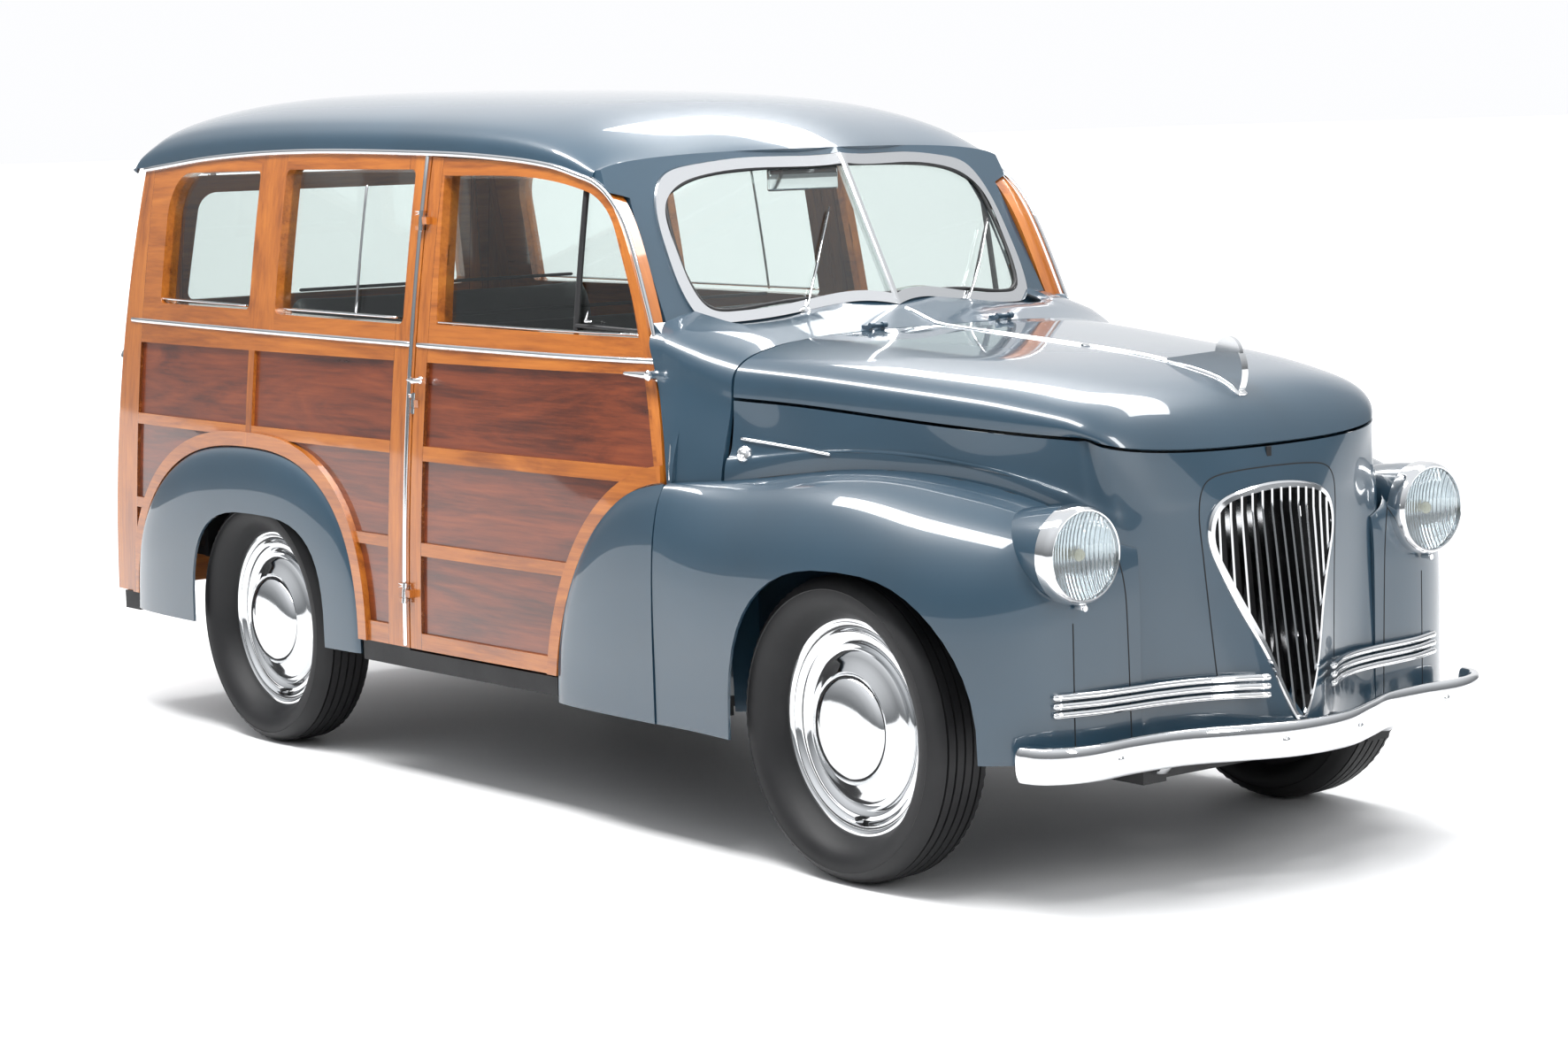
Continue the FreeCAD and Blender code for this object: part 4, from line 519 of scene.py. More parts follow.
def nose_rows():
    """Upright sections of the nose wall, from the cowl round the prow to the cowl."""
    rows = []
    tops = [station[:3] for station in hood_stations]
    tops.insert(1, (905, 587, 990.4))
    for (hx, hy, hz), (wx, wy, wz) in zip(tops, nose_waist):
        hz -= 7.0
        row = [(hx, -hy, hz)]
        for share, flare in ((0.35, 0.12), (0.7, 0.5), (1.0, 1.0)):
            row.append((hx + (wx - hx) * share, -(hy + (wy - hy) * flare), hz + (wz - hz) * share))
        rows.append(row + [(wx, -wy + 2, 560), (wx, -wy + 6, 420), (wx, -wy + 10, nose_foot_z)])
    lip = hood_row(hood_stations[-1], 7.0)
    for top, (wx, wy, wz), (fx, fy) in zip(lip[1:7], prow_waist, prow_foot):
        row = [top]
        for share in (0.35, 0.7, 1.0):
            row.append(tuple(a + (b - a) * share for a, b in zip(top, (wx, -wy, wz))))
        for z in (560, 420, nose_foot_z):
            fall = (wz - z) / (wz - nose_foot_z)
            row.append((wx + (fx - wx) * fall, -(wy + (fy - wy) * fall), z))
        rows.append(row)
    return rows + [[(x, -y, z) for x, y, z in row] for row in reversed(rows[:-1])]


# Each fender station: x and y of its wall, the height of its shoulder, and the point where it meets the nose.
fender_stations = [
    ((694, 745), 520, (694, 686, 806)), ((900, 747), 530, (905, 606, 823)),
    ((1100, 748), 540, (1100, 575, 848)), ((1290, 748), 550, (1290, 545, 858)),
    ((1460, 744), 555, (1450, 507, 847)), ((1590, 728), 560, (1590, 482, 826)),
    ((1700, 678), 565, (1690, 460, 800)), ((1772, 590), 570, (1738, 441, 778)),
    ((1803, 490), 575, (1772, 418, 750)), ((1812, 400), 580, (1792, 388, 730)),
    ((1816, 345), 585, (1806, 343, 715))]
fender_power = 2.3


def fender_rows():
    """Sections of a front fender, from its foot over its shoulder to the nose wall."""
    rows = []
    for (wx, wy), shoulder, (sx, sy, sz) in fender_stations:
        foot = skirt_z if wx < 1270 else nose_foot_z
        row = [(wx, -wy, z) for z in (foot, (foot + shoulder) / 2, shoulder)]
        for degrees in (20, 38, 54, 68, 80, 90):
            angle = math.radians(degrees)
            rise, run = math.sin(angle) ** (2 / fender_power), 1 - math.cos(angle) ** (2 / fender_power)
            row.append((wx + (sx - wx) * run, -(wy + (sy - wy) * run), shoulder + (sz - shoulder) * rise))
        rows.append(row)
    return rows


def arch_points(centre, back, ahead, height, power, count=25):
    """A squared arch over a wheel, from its rear foot to its front foot."""
    line = []
    for i in range(count):
        angle = math.pi * (1 - i / (count - 1))
        reach = ahead if math.cos(angle) > 0 else back
        across = math.copysign(reach * abs(math.cos(angle)) ** (2 / power), math.cos(angle))
        line.append((centre[0] + across, centre[1] + height * abs(math.sin(angle)) ** (2 / power)))
    return line


def fender_y(x, z, share):
    """Half width of a fender that swells out of the body: all of it at share 0, none of it at share 1."""
    body_y = side_y(x, z)
    return body_y + (fender_half_width - body_y) * math.sqrt(max(1 - share ** 4, 0.0))


def rear_fender_rows():
    """Rings of a rear fender, from near its middle to the line where it meets the body."""
    rows = []
    for ring in (0.34, 0.6, 0.8, 0.91, 0.97, 1.0):
        line = arch_points((-1160.0, foot_z), 672.0 * ring, 578.0 * ring, 485.0 * ring, 2.5, 13)
        rows.append([(x, -fender_y(x, z, ring), z) for x, z in line])
    return rows


def skirt_rows():
    """Upright sections of the piece of fender that rides on the door."""
    rows = []
    for share in (0.004, 0.02, 0.06, 0.14, 0.28, 0.46, 0.7, 1.0):
        x = 289.5 + (690.5 - 289.5) * share
        high = foot_z + 504.5 * math.sqrt(1 - min(max((skirt_centre_x - x) / 410.5, 0.0), 1.0) ** 2)
        row = []
        for level in (0.0, 0.4, 0.7, 0.84, 0.92, 0.97, 1.0):
            z = skirt_z + (high - skirt_z) * level
            reach = min(math.hypot((skirt_centre_x - x) / 412.0, max(z - foot_z, 0.0) / 506.0), 0.985)
            row.append((x, -fender_y(x, z, reach), z))
        rows.append(row)
    return rows


print("highest point of the roof:", round(max(point[2] for row in roof_rows() for point in row)), "mm")

# %% [markdown]
# ## From stations to a sheet of steel
# A grid is laid on the stations, smoothed and given its thickness. Openings are cut with prisms: a face
# through a line of points, pushed across the car. A boolean cuts cleanly here because both solids are
# closed.

# %% Grid, cage and sheet
def on_stations(rows):
    """A grid whose vertices stand on the stations, in metres."""
    long, wide = len(rows) - 1, len(rows[0]) - 1
    bm = bmesh.new()
    bmesh.ops.create_grid(bm, x_segments=wide, y_segments=long, size=1.0)
    for vert in bm.verts:
        i, j = round((vert.co.y + 1) / 2 * long), round((vert.co.x + 1) / 2 * wide)
        vert.co = Vector(rows[i][j]) / 1000.0
    return as_object("cage", bm)


def settled(piece):
    """The mesh that a piece's modifiers make, as a mesh of its own."""
    bpy.context.view_layer.update()
    depsgraph = bpy.context.evaluated_depsgraph_get()
    return bpy.data.meshes.new_from_object(piece.evaluated_get(depsgraph))


corrections = 5


def through_stations(rows, levels=3):
    """A smooth sheet that passes through every station."""
    cage = on_stations(rows)
    smooth = cage.modifiers.new("smooth", "SUBSURF")
    smooth.levels = smooth.render_levels = levels
    smooth.boundary_smooth = "PRESERVE_CORNERS"
    goal = [vert.co.copy() for vert in cage.data.vertices]
    for _ in range(corrections):
        sheet = settled(cage)
        for vert, want, got in zip(cage.data.vertices, goal, sheet.vertices):
            vert.co += want - got.co
        cage.data.update()
    sheet = settled(cage)
    bpy.data.objects.remove(cage)
    return sheet


def prism(outline, push):
    """Mesh work for a prism: a face through points in millimetres, pushed along a vector."""
    bm = bmesh.new()
    face = bm.faces.new([bm.verts.new([c / 1000 for c in point]) for point in outline])
    pushed = bmesh.ops.extrude_face_region(bm, geom=[face])["geom"]
    moved = [part for part in pushed if isinstance(part, bmesh.types.BMVert)]
    bmesh.ops.translate(bm, verts=moved, vec=tuple(c / 1000 for c in push))
    bmesh.ops.recalc_face_normals(bm, faces=bm.faces)
    return bm


def cutter(line, low, high, foot=100.0):
    """A tool across the car, under a side-view line."""
    ring = [(line[0][0], foot)] + line + [(line[-1][0], foot)]
    return as_object("cutter", prism([(x, low, z) for x, z in ring], (0, high - low, 0)))


def pressed(rows, skin, outward, cuts=()):
    """Mesh work for a pressed sheet: smooth outside, a skin behind it, and its openings cut."""
    sheet = through_stations(rows)
    bm = bmesh.new()
    bm.from_mesh(sheet)
    bpy.data.meshes.remove(sheet)
    bmesh.ops.recalc_face_normals(bm, faces=bm.faces)
    middle = max(bm.faces, key=lambda face: face.calc_center_median().dot(Vector(outward)))
    if middle.normal.dot(Vector(outward)) < 0:
        bmesh.ops.reverse_faces(bm, faces=bm.faces)
    bmesh.ops.solidify(bm, geom=bm.faces[:] + bm.edges[:] + bm.verts[:], thickness=skin / 1000.0)
    bmesh.ops.recalc_face_normals(bm, faces=bm.faces)
    if cuts:
        work = as_object("sheet", bm)
        for tool in cuts:
            cut = work.modifiers.new("cut", "BOOLEAN")
            cut.operation, cut.object, cut.solver = "DIFFERENCE", tool, "EXACT"
        bm = bmesh.new()
        bm.from_mesh(settled(work))
        for piece in (work, *cuts):
            bpy.data.objects.remove(piece)
    return bm


def with_twin(bm):
    """The same mesh work with its mirror image on the other side of the car."""
    copy = bmesh.ops.duplicate(bm, geom=bm.verts[:] + bm.edges[:] + bm.faces[:])["geom"]
    verts = [g for g in copy if isinstance(g, bmesh.types.BMVert)]
    bmesh.ops.scale(bm, vec=(1, -1, 1), verts=verts)
    bmesh.ops.reverse_faces(bm, faces=[g for g in copy if isinstance(g, bmesh.types.BMFace)])
    return bm


def twin(bm):
    """A mirror image alone."""
    copy = bm.copy()
    bmesh.ops.scale(copy, vec=(1, -1, 1), verts=copy.verts)
    bmesh.ops.reverse_faces(copy, faces=copy.faces)
    return copy


print("panel tools ready")

# %% [markdown]
# ## Roof, hood, nose and fenders
# The roof and hood are whole pressings. The nose wall has the tear-shaped grille hole, and room for the
# wheels as they steer. Each front fender is cut by its arch and carries a bullet-shaped lamp pod, turned
# on a lathe.

# %% Panels
skins = {}
wheel_room = [(895, 735), (1645, 735)]
tear = [(0, 346), (60, 440), (112, 560), (158, 660), (178, 728), (160, 782), (100, 808), (0, 818)]
tear_loop = smooth_line([(0, -y, z) for y, z in tear], 6)[:-1]
tear_loop += smooth_line([(0, y, z) for y, z in reversed(tear)], 6)[:-1]


def panel(name, bm, node, sharp=32.0):
    """A painted panel that stands for a node."""
    piece = placed(name, bm, paint, body_of_node[node], sharp)
    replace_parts(piece, node)
    skins[node] = piece


panel("roof_shell", pressed(roof_rows(), 12.0, (0, 0, 1)), "roof")
panel("hood_shell", pressed([hood_row(station) for station in hood_stations], 8.0, (0, 0, 1)), "hood")
nose_cuts = [as_object("hole", prism([(1600, p.y, p.z) for p in tear_loop], (500, 0, 0))),
             cutter(wheel_room, -900, -360, 0.0), cutter(wheel_room, 360, 900, 0.0)]
panel("nose_shell", pressed(nose_rows(), 6.0, (1, 0, 0), nose_cuts), "nose_panel", 40.0)


def turned(profile, centre, axis, steps=64):
    """Mesh work for a lathe-turned piece: profile points are (along the axis, radius), in millimetres."""
    axis, centre = Vector(axis).normalized(), Vector(centre) / 1000
    side = axis.orthogonal().normalized()
    bm = bmesh.new()
    verts = [bm.verts.new(centre + axis * along / 1000 + side * radius / 1000) for along, radius in profile]
    edges = [bm.edges.new(pair) for pair in zip(verts, verts[1:])]
    bmesh.ops.spin(bm, geom=verts + edges, cent=centre, axis=axis, angle=math.tau, steps=steps,
                   use_merge=True)
    bmesh.ops.remove_doubles(bm, verts=bm.verts, dist=0.00002)
    bmesh.ops.recalc_face_normals(bm, faces=bm.faces)
    return bm


def joined(*works):
    """One mesh work from several."""
    bm = bmesh.new()
    for work in works:
        mesh = bpy.data.meshes.new("part")
        work.to_mesh(mesh)
        work.free()
        bm.from_mesh(mesh)
        bpy.data.meshes.remove(mesh)
    return bm


front_arch = arch_points((1330.0, foot_z), 370.0, 366.0, 367.0, 2.6)
rear_arch = arch_points((-1090.0, foot_z), 346.0, 347.0, 316.0, 3.1)
fender_skin, outwards = 7.0, (0, -1, 0)
lamp = (1800.0, -508.0, 719.0)
pod = turned([(-255, 0), (-252, 14), (-240, 33), (-215, 55), (-180, 72), (-140, 83), (-100, 89), (-50, 93.5),
              (-9, 95), (0, 95), (0, 60), (0, 0)], lamp, (1, 0, 0), 72)
front_fender = pressed(fender_rows(), fender_skin, outwards, [cutter(front_arch, -900, -600)])
panel("front_fender_shells", with_twin(joined(front_fender, pod)), "front_fenders", 40.0)
rear_fender = pressed(rear_fender_rows(), fender_skin, outwards, [cutter(rear_arch, -900, -600)])
panel("rear_fender_shells", with_twin(rear_fender), "rear_fenders", 40.0)
skirt = pressed(skirt_rows(), fender_skin, outwards)
panel("door_skirt_shell_left", twin(skirt), "door_skirt_left", 40.0)
panel("door_skirt_shell_right", skirt, "door_skirt_right", 40.0)
for piece in skins.values():
    print(piece.name, len(piece.data.polygons), "faces")

# %% [markdown]
# ## Cowl and wood
# The cowl is a welded assembly of several surfaces, and the wooden frame has hundreds of small faces
# where rails meet posts. Both keep the solids' own shapes, as merged copies. The hinges that are part of
# them are steel, so the faces near each hinge pin take the bright finish.

# %% Merged copies of cowl, wood and trim
pin_reach, pin_radius = 0.034, 0.0125
hinge_spots = [Vector((-1.998, y, 0.462)) for y in (-0.4, 0.4)]
hinge_spots += [Vector((-1.934, y, 1.500)) for y in (-0.36, 0.36)]
for z in (0.474, 0.935, 1.377):
    hinge_spots += [Vector((-0.347, side * (0.696 + 0.1027 * (0.935 - z)), z)) for side in (-1, 1)]


def hinges_bright(piece):
    """Give the faces round each hinge pin the bright finish."""
    piece.data.materials.append(chrome.material)
    for polygon in piece.data.polygons:
        for spot in hinge_spots:
            away = polygon.center - spot
            off_pin = math.hypot(away.x, away.y if abs(spot.y) > 0.6 else away.z)
            if off_pin < pin_radius and away.length < pin_reach:
                polygon.material_index = 1


for finish, names in ((wood, "quarter_right quarter_left door_frame_right door_frame_left"),
                      (mahogany, "quarter_panels door_panels_right door_panels_left"),
                      (corner_wood, "rear_frame"), (gate_wood, "tailgate hatch"),
                      (gate_mahogany, "tailgate_panels"), (chrome, "grille"), (dash_paint, "bulkhead"),
                      (paint, "cowl"), (chrome, "windshield_frame")):
    for node in names.split():
        skins[node] = merged(node, finish)
        if finish in (wood, corner_wood, gate_wood):
            hinges_bright(skins[node])
print("skins:", len(skins))

# %% [markdown]
# ## Bars swept along lines
# Trim is rolled or drawn metal: one section all along, with its ends closed and rounded. A ring of points
# is set across the path at every station, and neighbouring rings are bridged. Where a bar lies on a
# panel, a ray finds the panel first, so the bar sits on it and follows its curve.

# %% Rays and sweeps
trees = {}


def landing(start, direction, *names):
    """Where a ray from a start in millimetres first meets one of the named skins, with the normal there."""
    best = None
    for name in names:
        if name not in trees:
            mesh = skins[name].data
            corners = [vert.co for vert in mesh.vertices]
            trees[name] = BVHTree.FromPolygons(corners, [face.vertices[:] for face in mesh.polygons])
        spot, normal, _, reach = trees[name].ray_cast(Vector(start) / 1000, Vector(direction).normalized())
        if spot is not None and (best is None or reach < best[2]):
            best = (spot * 1000, normal, reach)
    return best


def laid(points, direction, names, lift=0.0):
    """Points in millimetres moved along a direction onto the skins, then lifted off them."""
    found = [landing(Vector(point), direction, *names) for point in points]
    return [hit[0] + hit[1] * lift for hit in found if hit is not None]


def drawn(path, wide, high, up=(0, 0, 1), sides=12, power=2.0):
    """A bar along a path, its ends closed and rounded: wide across it, high along the up direction."""
    points = [Vector(point) for point in path]
    reach = min(wide, high) / 2
    first, last = (points[0] - points[1]).normalized(), (points[-1] - points[-2]).normalized()
    points = [points[0] + first * reach, points[0] + first * reach * 0.7] + points
    points += [points[-1] + last * reach * 0.7, points[-1] + last * reach]
    scales = [0.25, 0.72] + [1.0] * (len(points) - 4) + [0.72, 0.25]
    bm = bmesh.new()
    rings = []
    for i, point in enumerate(points):
        run = (points[min(i + 1, len(points) - 1)] - points[max(i - 1, 0)]).normalized()
        side = run.cross(Vector(up)).normalized()
        over = side.cross(run)
        axes = (side * wide / 2 * scales[i], over * high / 2 * scales[i], run)
        turn = Matrix(axes).transposed().to_4x4() * 0.001
        turn[3][3] = 1.0
        turn.translation = point / 1000
        ring = bmesh.ops.create_circle(bm, cap_ends=i in (0, len(points) - 1), segments=sides, radius=1.0)
        for vert in ring["verts"]:
            squarer = [math.copysign(abs(c) ** (2 / power), c) if abs(c) > 1e-6 else 0.0 for c in vert.co]
            vert.co = turn @ Vector(squarer)
        rings.append({edge for vert in ring["verts"] for edge in vert.link_edges})
    for one, other in zip(rings, rings[1:]):
        bmesh.ops.bridge_loops(bm, edges=list(one | other))
    bmesh.ops.recalc_face_normals(bm, faces=bm.faces)
    return bm


def both_sides(name, work, finish, body):
    """A piece and its mirror image, on a body that both share or on the bodies of each side."""
    if body.endswith("_right"):
        placed(name + "_left", twin(work), finish, body.replace("_right", "_left"))
        return placed(name + "_right", work, finish, body)
    return placed(name, with_twin(work), finish, body)


def rounded(bm, bevel):
    """The same mesh work with all its edges rounded."""
    bmesh.ops.bevel(bm, geom=bm.edges[:], offset=bevel / 1000, segments=3, profile=0.5, affect="EDGES",
                    material=-1)
    return bm


def box_work(low, high, bevel=2.0):
    """Mesh work for a block with rounded edges, between two corners in millimetres."""
    low, high = Vector(low) / 1000, Vector(high) / 1000
    bm = bmesh.new()
    place = Matrix.Translation((low + high) / 2) @ Matrix.Diagonal((*(high - low), 1))
    bmesh.ops.create_cube(bm, size=1.0, matrix=place)
    return rounded(bm, bevel)


print("sweeps ready")

# %% [markdown]
# ## Wheels and tyres
# A tyre is one profile spun round its axle: bead, bulging wall with a fine ridge, shoulder and a crown
# with five grooves. Alternate shoulder points are drawn in, which gives the notched edge of a cross-ply
# tread. The wheel is a pressed steel disc with a rolled lip, a ring of steps and a domed cap.

# %% Wheels
tyre_wall = [
    (20, 229), (34, 236), (52, 246), (68, 258), (77, 272), (80, 286), (78.8, 296), (80.2, 298),
    (78.6, 300), (71, 312), (62, 319)]
wheel_face = [
    (8, 231), (17, 232), (20.5, 229), (20, 224), (16, 220), (15.5, 216), (18, 213), (18.5, 209),
    (15, 205), (10, 201), (8.5, 197), (10, 192), (9, 186), (1, 178), (-3, 170), (-3, 165.5), (4, 165),
    (13, 163), (16, 159), (19, 150), (24, 138), (30, 128), (33, 122), (34.5, 119.5), (32, 118),
    (30, 116.5), (34, 115), (41, 112), (48, 104), (54.5, 90), (59.5, 70), (62.5, 45), (64, 20), (64.5, 0)]
wheel_back = [
    (40, 0), (40, 18.3), (-33, 18.3), (-33, 140), (-14, 140), (-14, 221), (-60, 221), (-60, 228.7)]
tyre_radius, wheel_y, front_axle_x, rear_axle_x = 325.0, 625.0, 1270.0, -1150.0
tread_steps, notch = 160, 0.0028


def crown_radius(offset):
    return tyre_radius - 2.5 * (offset / 60.0) ** 2


def tyre_profile():
    """One wall, the crown with its five grooves, the other wall and the bead."""
    points = list(tyre_wall)
    for groove in (44, 22, 0, -22, -44):
        for edge, depth in ((2.6, 0.0), (2.2, 7.0), (-2.2, 7.0), (-2.6, 0.0)):
            points.append((groove + edge, crown_radius(groove + edge) - depth))
    points += [(-along, radius) for along, radius in reversed(tyre_wall[2:])]
    return points + [(-62, 229), (20, 229)]


def tyre_work(centre, outward):
    """A spun tyre, with every second shoulder point drawn in."""
    bm = turned(tyre_profile(), centre, outward, tread_steps)
    centre = Vector(centre) / 1000
    for vert in bm.verts:
        arm = vert.co - centre
        offset, radius = abs(arm.dot(Vector(outward))), math.hypot(arm.x, arm.z)
        step = round(math.atan2(arm.z, arm.x) / math.tau * tread_steps)
        if offset > 0.061 and 0.301 < radius < 0.3205 and step % 2:
            vert.co -= Vector((arm.x, 0, arm.z)).normalized() * notch
    return bm


for end, x in (("front", front_axle_x), ("rear", rear_axle_x)):
    for side, sign in (("right", -1), ("left", 1)):
        centre, outward, name = (x, sign * wheel_y, tyre_radius), (0, sign, 0), end + "_" + side
        body = "wheel_" + name
        tyre = placed("tyre_tread_" + name, tyre_work(centre, outward), rubber, body, 30.0)
        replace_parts(tyre, "tyre_" + name)
        disc_work = turned(wheel_back + wheel_face, centre, outward, 128)
        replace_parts(placed("wheel_disc_" + name, disc_work, wheel_chrome, body, 38.0), "wheel_" + name)
        stem = (centre[0], centre[1] + sign * 2, centre[2] - 193)
        valve = turned([(0, 4), (12, 4), (12, 5.2), (24, 5.2), (25, 4), (25, 0)], stem, outward, 16)
        placed("valve_" + name, valve, gasket, body)
print("wheels ready")

# %% [markdown]
# ## Headlamps
# A deep chrome bezel holds a fluted lens. Behind the lens a silvered bowl and a small bulb give the lamp
# its depth, and a clamp screw closes the bezel from below.

# %% Headlamps
forward = (1, 0, 0)
bezel = [
    (-8, 88), (-8, 97), (-4, 100), (18, 100), (27, 98.5), (34, 95), (38, 91), (37, 88.5), (30, 88),
    (-8, 88)]
lens_shell = [(28, 90), (32.5, 80), (37, 65), (41, 45), (43.6, 20), (44, 0)]
bowl = [(27, 88), (20, 76), (12, 58), (6, 38), (3, 16), (2, 0)]
bulb = [(2, 0), (2, 9), (8, 9.5), (12, 12), (18, 13), (24, 10), (28, 5), (29, 0)]
lens_inner = [(along - 3, max(radius - 1, 0)) for along, radius in reversed(lens_shell)]
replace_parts(both_sides("headlamp_bezels", turned(bezel, lamp, forward, 96), chrome, "body"), "headlamp_rims")
lens_work = turned(lens_shell + lens_inner, lamp, forward, 72)
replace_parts(both_sides("headlamp_glass", lens_work, lens, "body"), "headlamp_lenses")
both_sides("headlamp_bowls", turned(bowl, lamp, forward, 72), silver, "body")
both_sides("headlamp_bulbs", turned(bulb, lamp, forward, 32), ivory, "body")
clamp = joined(box_work((1806, -514, 609), (1830, -502, 622)),
               turned([(0, 4), (22, 4), (22, 6), (28, 6), (28, 0)], (1804, -508, 613), forward, 16))
both_sides("headlamp_clamps", clamp, chrome, "body")
print("headlamps ready")

# %% [markdown]
# ## Bright trim of the body
# A drip rail runs over the windows and down the windshield pillar. Thin half-round strips mark the belt
# of the door and of the quarter, one covers the gap between them, and each window has a bright or black
# lower edge. All of these are one kind of piece, so a table gives their ends and sections.

# %% Body trim
def on_side(x, z, proud=0.0):
    """A point on the right side of the wooden body."""
    return (x, -(side_y(x, z) + proud), z)


def side_line(start, end, count, proud):
    """Points between two stations (x, z), evenly spaced, on the same side."""
    (x, z), (far_x, far_z) = start, end
    return [on_side(x + (far_x - x) * i / count, z + (far_z - z) * i / count, proud)
            for i in range(count + 1)]


drip = [on_side(p.x, p.z - 4, 5.0) for p in rail_line]
pillar_line = smooth_line([(x + 5, 0, z - 4) for x, z in pillar_stations], 4)
drip += [on_side(p.x, p.z, 3.0) for p in pillar_line if p.z > 1050][1:]
both_sides("drip_rail", drawn(drip, 9, 13), chrome, "body")

door, upward = "door_right", (0, 0, 1)
# Each strip: name, finish, body, its two ends (x, z), steps, how far it stands proud, width, height and up.
strips = (
    ("belt_strip_quarter", chrome, "body", (-1920, 1096), (-380, 1078), 24, 1.0, 9, 13, upward),
    ("belt_strip_door", chrome, door, (-338, 1077), (629, 1065), 16, 1.0, 9, 13, upward),
    ("post_strip", wheel_chrome, "body", (-368, 344), (-368, 1530), 20, 1.0, 7, 15, forward),
    ("pillar_strip", wheel_chrome, "body", (688, 812), (655, 1050), 6, -3.0, 7, 9, forward),
    ("door_window_sill", chrome, door, (-258, 1133), (512, 1122), 12, -8.0, 14, 7, upward),
    ("vent_divider", gasket, door, (287.92, 1124), (281.52, 1444), 8, -17.0, 14, 16, forward),
    ("vent_sill", gasket, door, (292, 1139), (508, 1130), 6, -14.0, 10, 10, upward),
    ("quarter_glass_edge", chrome, "body", (-670, 1140), (-670, 1460), 8, -17.0, 6, 9, forward),
    ("rear_quarter_sill", chrome, "body", (-1845, 1160), (-1240, 1150), 10, -10.0, 12, 7, upward),
    ("front_quarter_sill", chrome, "body", (-1050, 1148), (-462, 1140), 10, -10.0, 12, 7, upward))
for name, finish, body, start, end, count, proud, wide, high, up in strips:
    slot = "bright_trim" if finish is wheel_chrome else None
    both_sides(name, drawn(side_line(start, end, count, proud), wide, high, up), finish, body)
print("body trim ready")

# %% [markdown]
# ## Handles, catches and wipers
# The door opens by a tapered bright handle at its front edge, with a small double lever near its hinges
# and a catch on the vent window. Two arms with black blades rest on the windshield.

# %% Handles and wipers
def lever(centre, toward, length, thick):
    """A tapered bar that starts at a boss's centre and grows thin toward its end."""
    centre, toward = Vector(centre), Vector(toward).normalized()
    line = [centre + toward * length * share for share in (0.0, 0.2, 0.45, 0.7, 0.9, 1.0)]
    bm = drawn(line, thick, thick * 1.25)
    for vert in bm.verts:
        along = max((vert.co * 1000 - centre).dot(toward) / length, 0.0)
        core = (centre + toward * along * length) / 1000
        vert.co = core + (vert.co - core) * (1.0 - 0.55 * min(along, 1.0))
    return bm


x, y, z = on_side(596, 1037, 26)
boss = turned([(-26, 15), (-22, 15), (-20, 11), (-2, 10), (4, 12), (7, 9), (8, 0)], (x, y, z), outwards, 32)
both_sides("door_handle", joined(boss, lever((x + 4, y, z), (-1, -0.02, 0.02), 92, 15)), chrome, door)
x, y, z = on_side(-316, 993, 22)
boss = turned([(-22, 9), (-18, 9), (-16, 6), (0, 6), (4, 7), (5, 0)], (x, y, z), outwards, 24)
grip = joined(lever((x, y, z), (1, 0, -0.04), 34, 11), lever((x, y, z), (-1, 0, 0.04), 26, 11))
both_sides("lock_handle", joined(boss, grip), chrome, door)
catch = on_side(332, 1150, -6)
both_sides("vent_catch", joined(lever(catch, (0.5, 0, 1), 22, 7), lever(catch, forward, 22, 7)), chrome, door)


def wiper(name, pivot, middle, tip):
    """Pivot cap, arm and blade of one wiper."""
    pivot, middle, tip = Vector(pivot), Vector(middle), Vector(tip)
    out = Vector((0.85, -0.19 if pivot.y < 0 else 0.19, 0.49)).normalized()
    cap = turned([(-14, 13), (0, 13), (6, 11), (11, 6), (12, 0)], pivot, out, 24)
    arm = drawn([pivot + out * 8, pivot.lerp(middle, 0.5) + out * 11, middle + out * 12], 5, 7, out)
    carrier = drawn([middle.lerp(tip, -0.25) + out * 10, middle.lerp(tip, 0.9) + out * 9], 3, 5, out)
    placed(name + "_arm", joined(cap, arm, carrier), chrome, "body")
    blade = drawn([middle.lerp(tip, -0.55) + out * 4, tip + out * 4], 4, 9, out)
    placed(name + "_blade", blade, gasket, "body")


wiper("wiper_right", (623, -238, 1156), (581, -170, 1257), (528, -86, 1384))
wiper("wiper_left", (631, 236, 1144), (558, 339, 1232), (473, 447, 1337))
pane_half = [
    (0, 1160), (250, 1156), (430, 1141), (490, 1152), (512, 1200), (516, 1300), (500, 1412), (462, 1471),
    (380, 1496), (250, 1508), (0, 1513)]
rubber_half = []
for y, z in pane_half:
    y = y - 27 if y > 400 else y * 0.948
    z = z - math.copysign(27, z - 1325) if abs(z - 1325) > 100 else z
    rubber_half.append((656 - 0.57 * (z - 1182) - 0.224 * y, -y, z))
both_sides("windshield_gasket", drawn(smooth_line(rubber_half, 6), 9, 9, (0.85, -0.19, 0.49)), gasket, "body")
print("handles and wipers ready")

# %% [markdown]
# ## Hood and nose
# A bright strip runs down the middle of the hood and broadens under the ornament. The nose wall shows its
# seams, and each side carries a thin spear and a round lock.

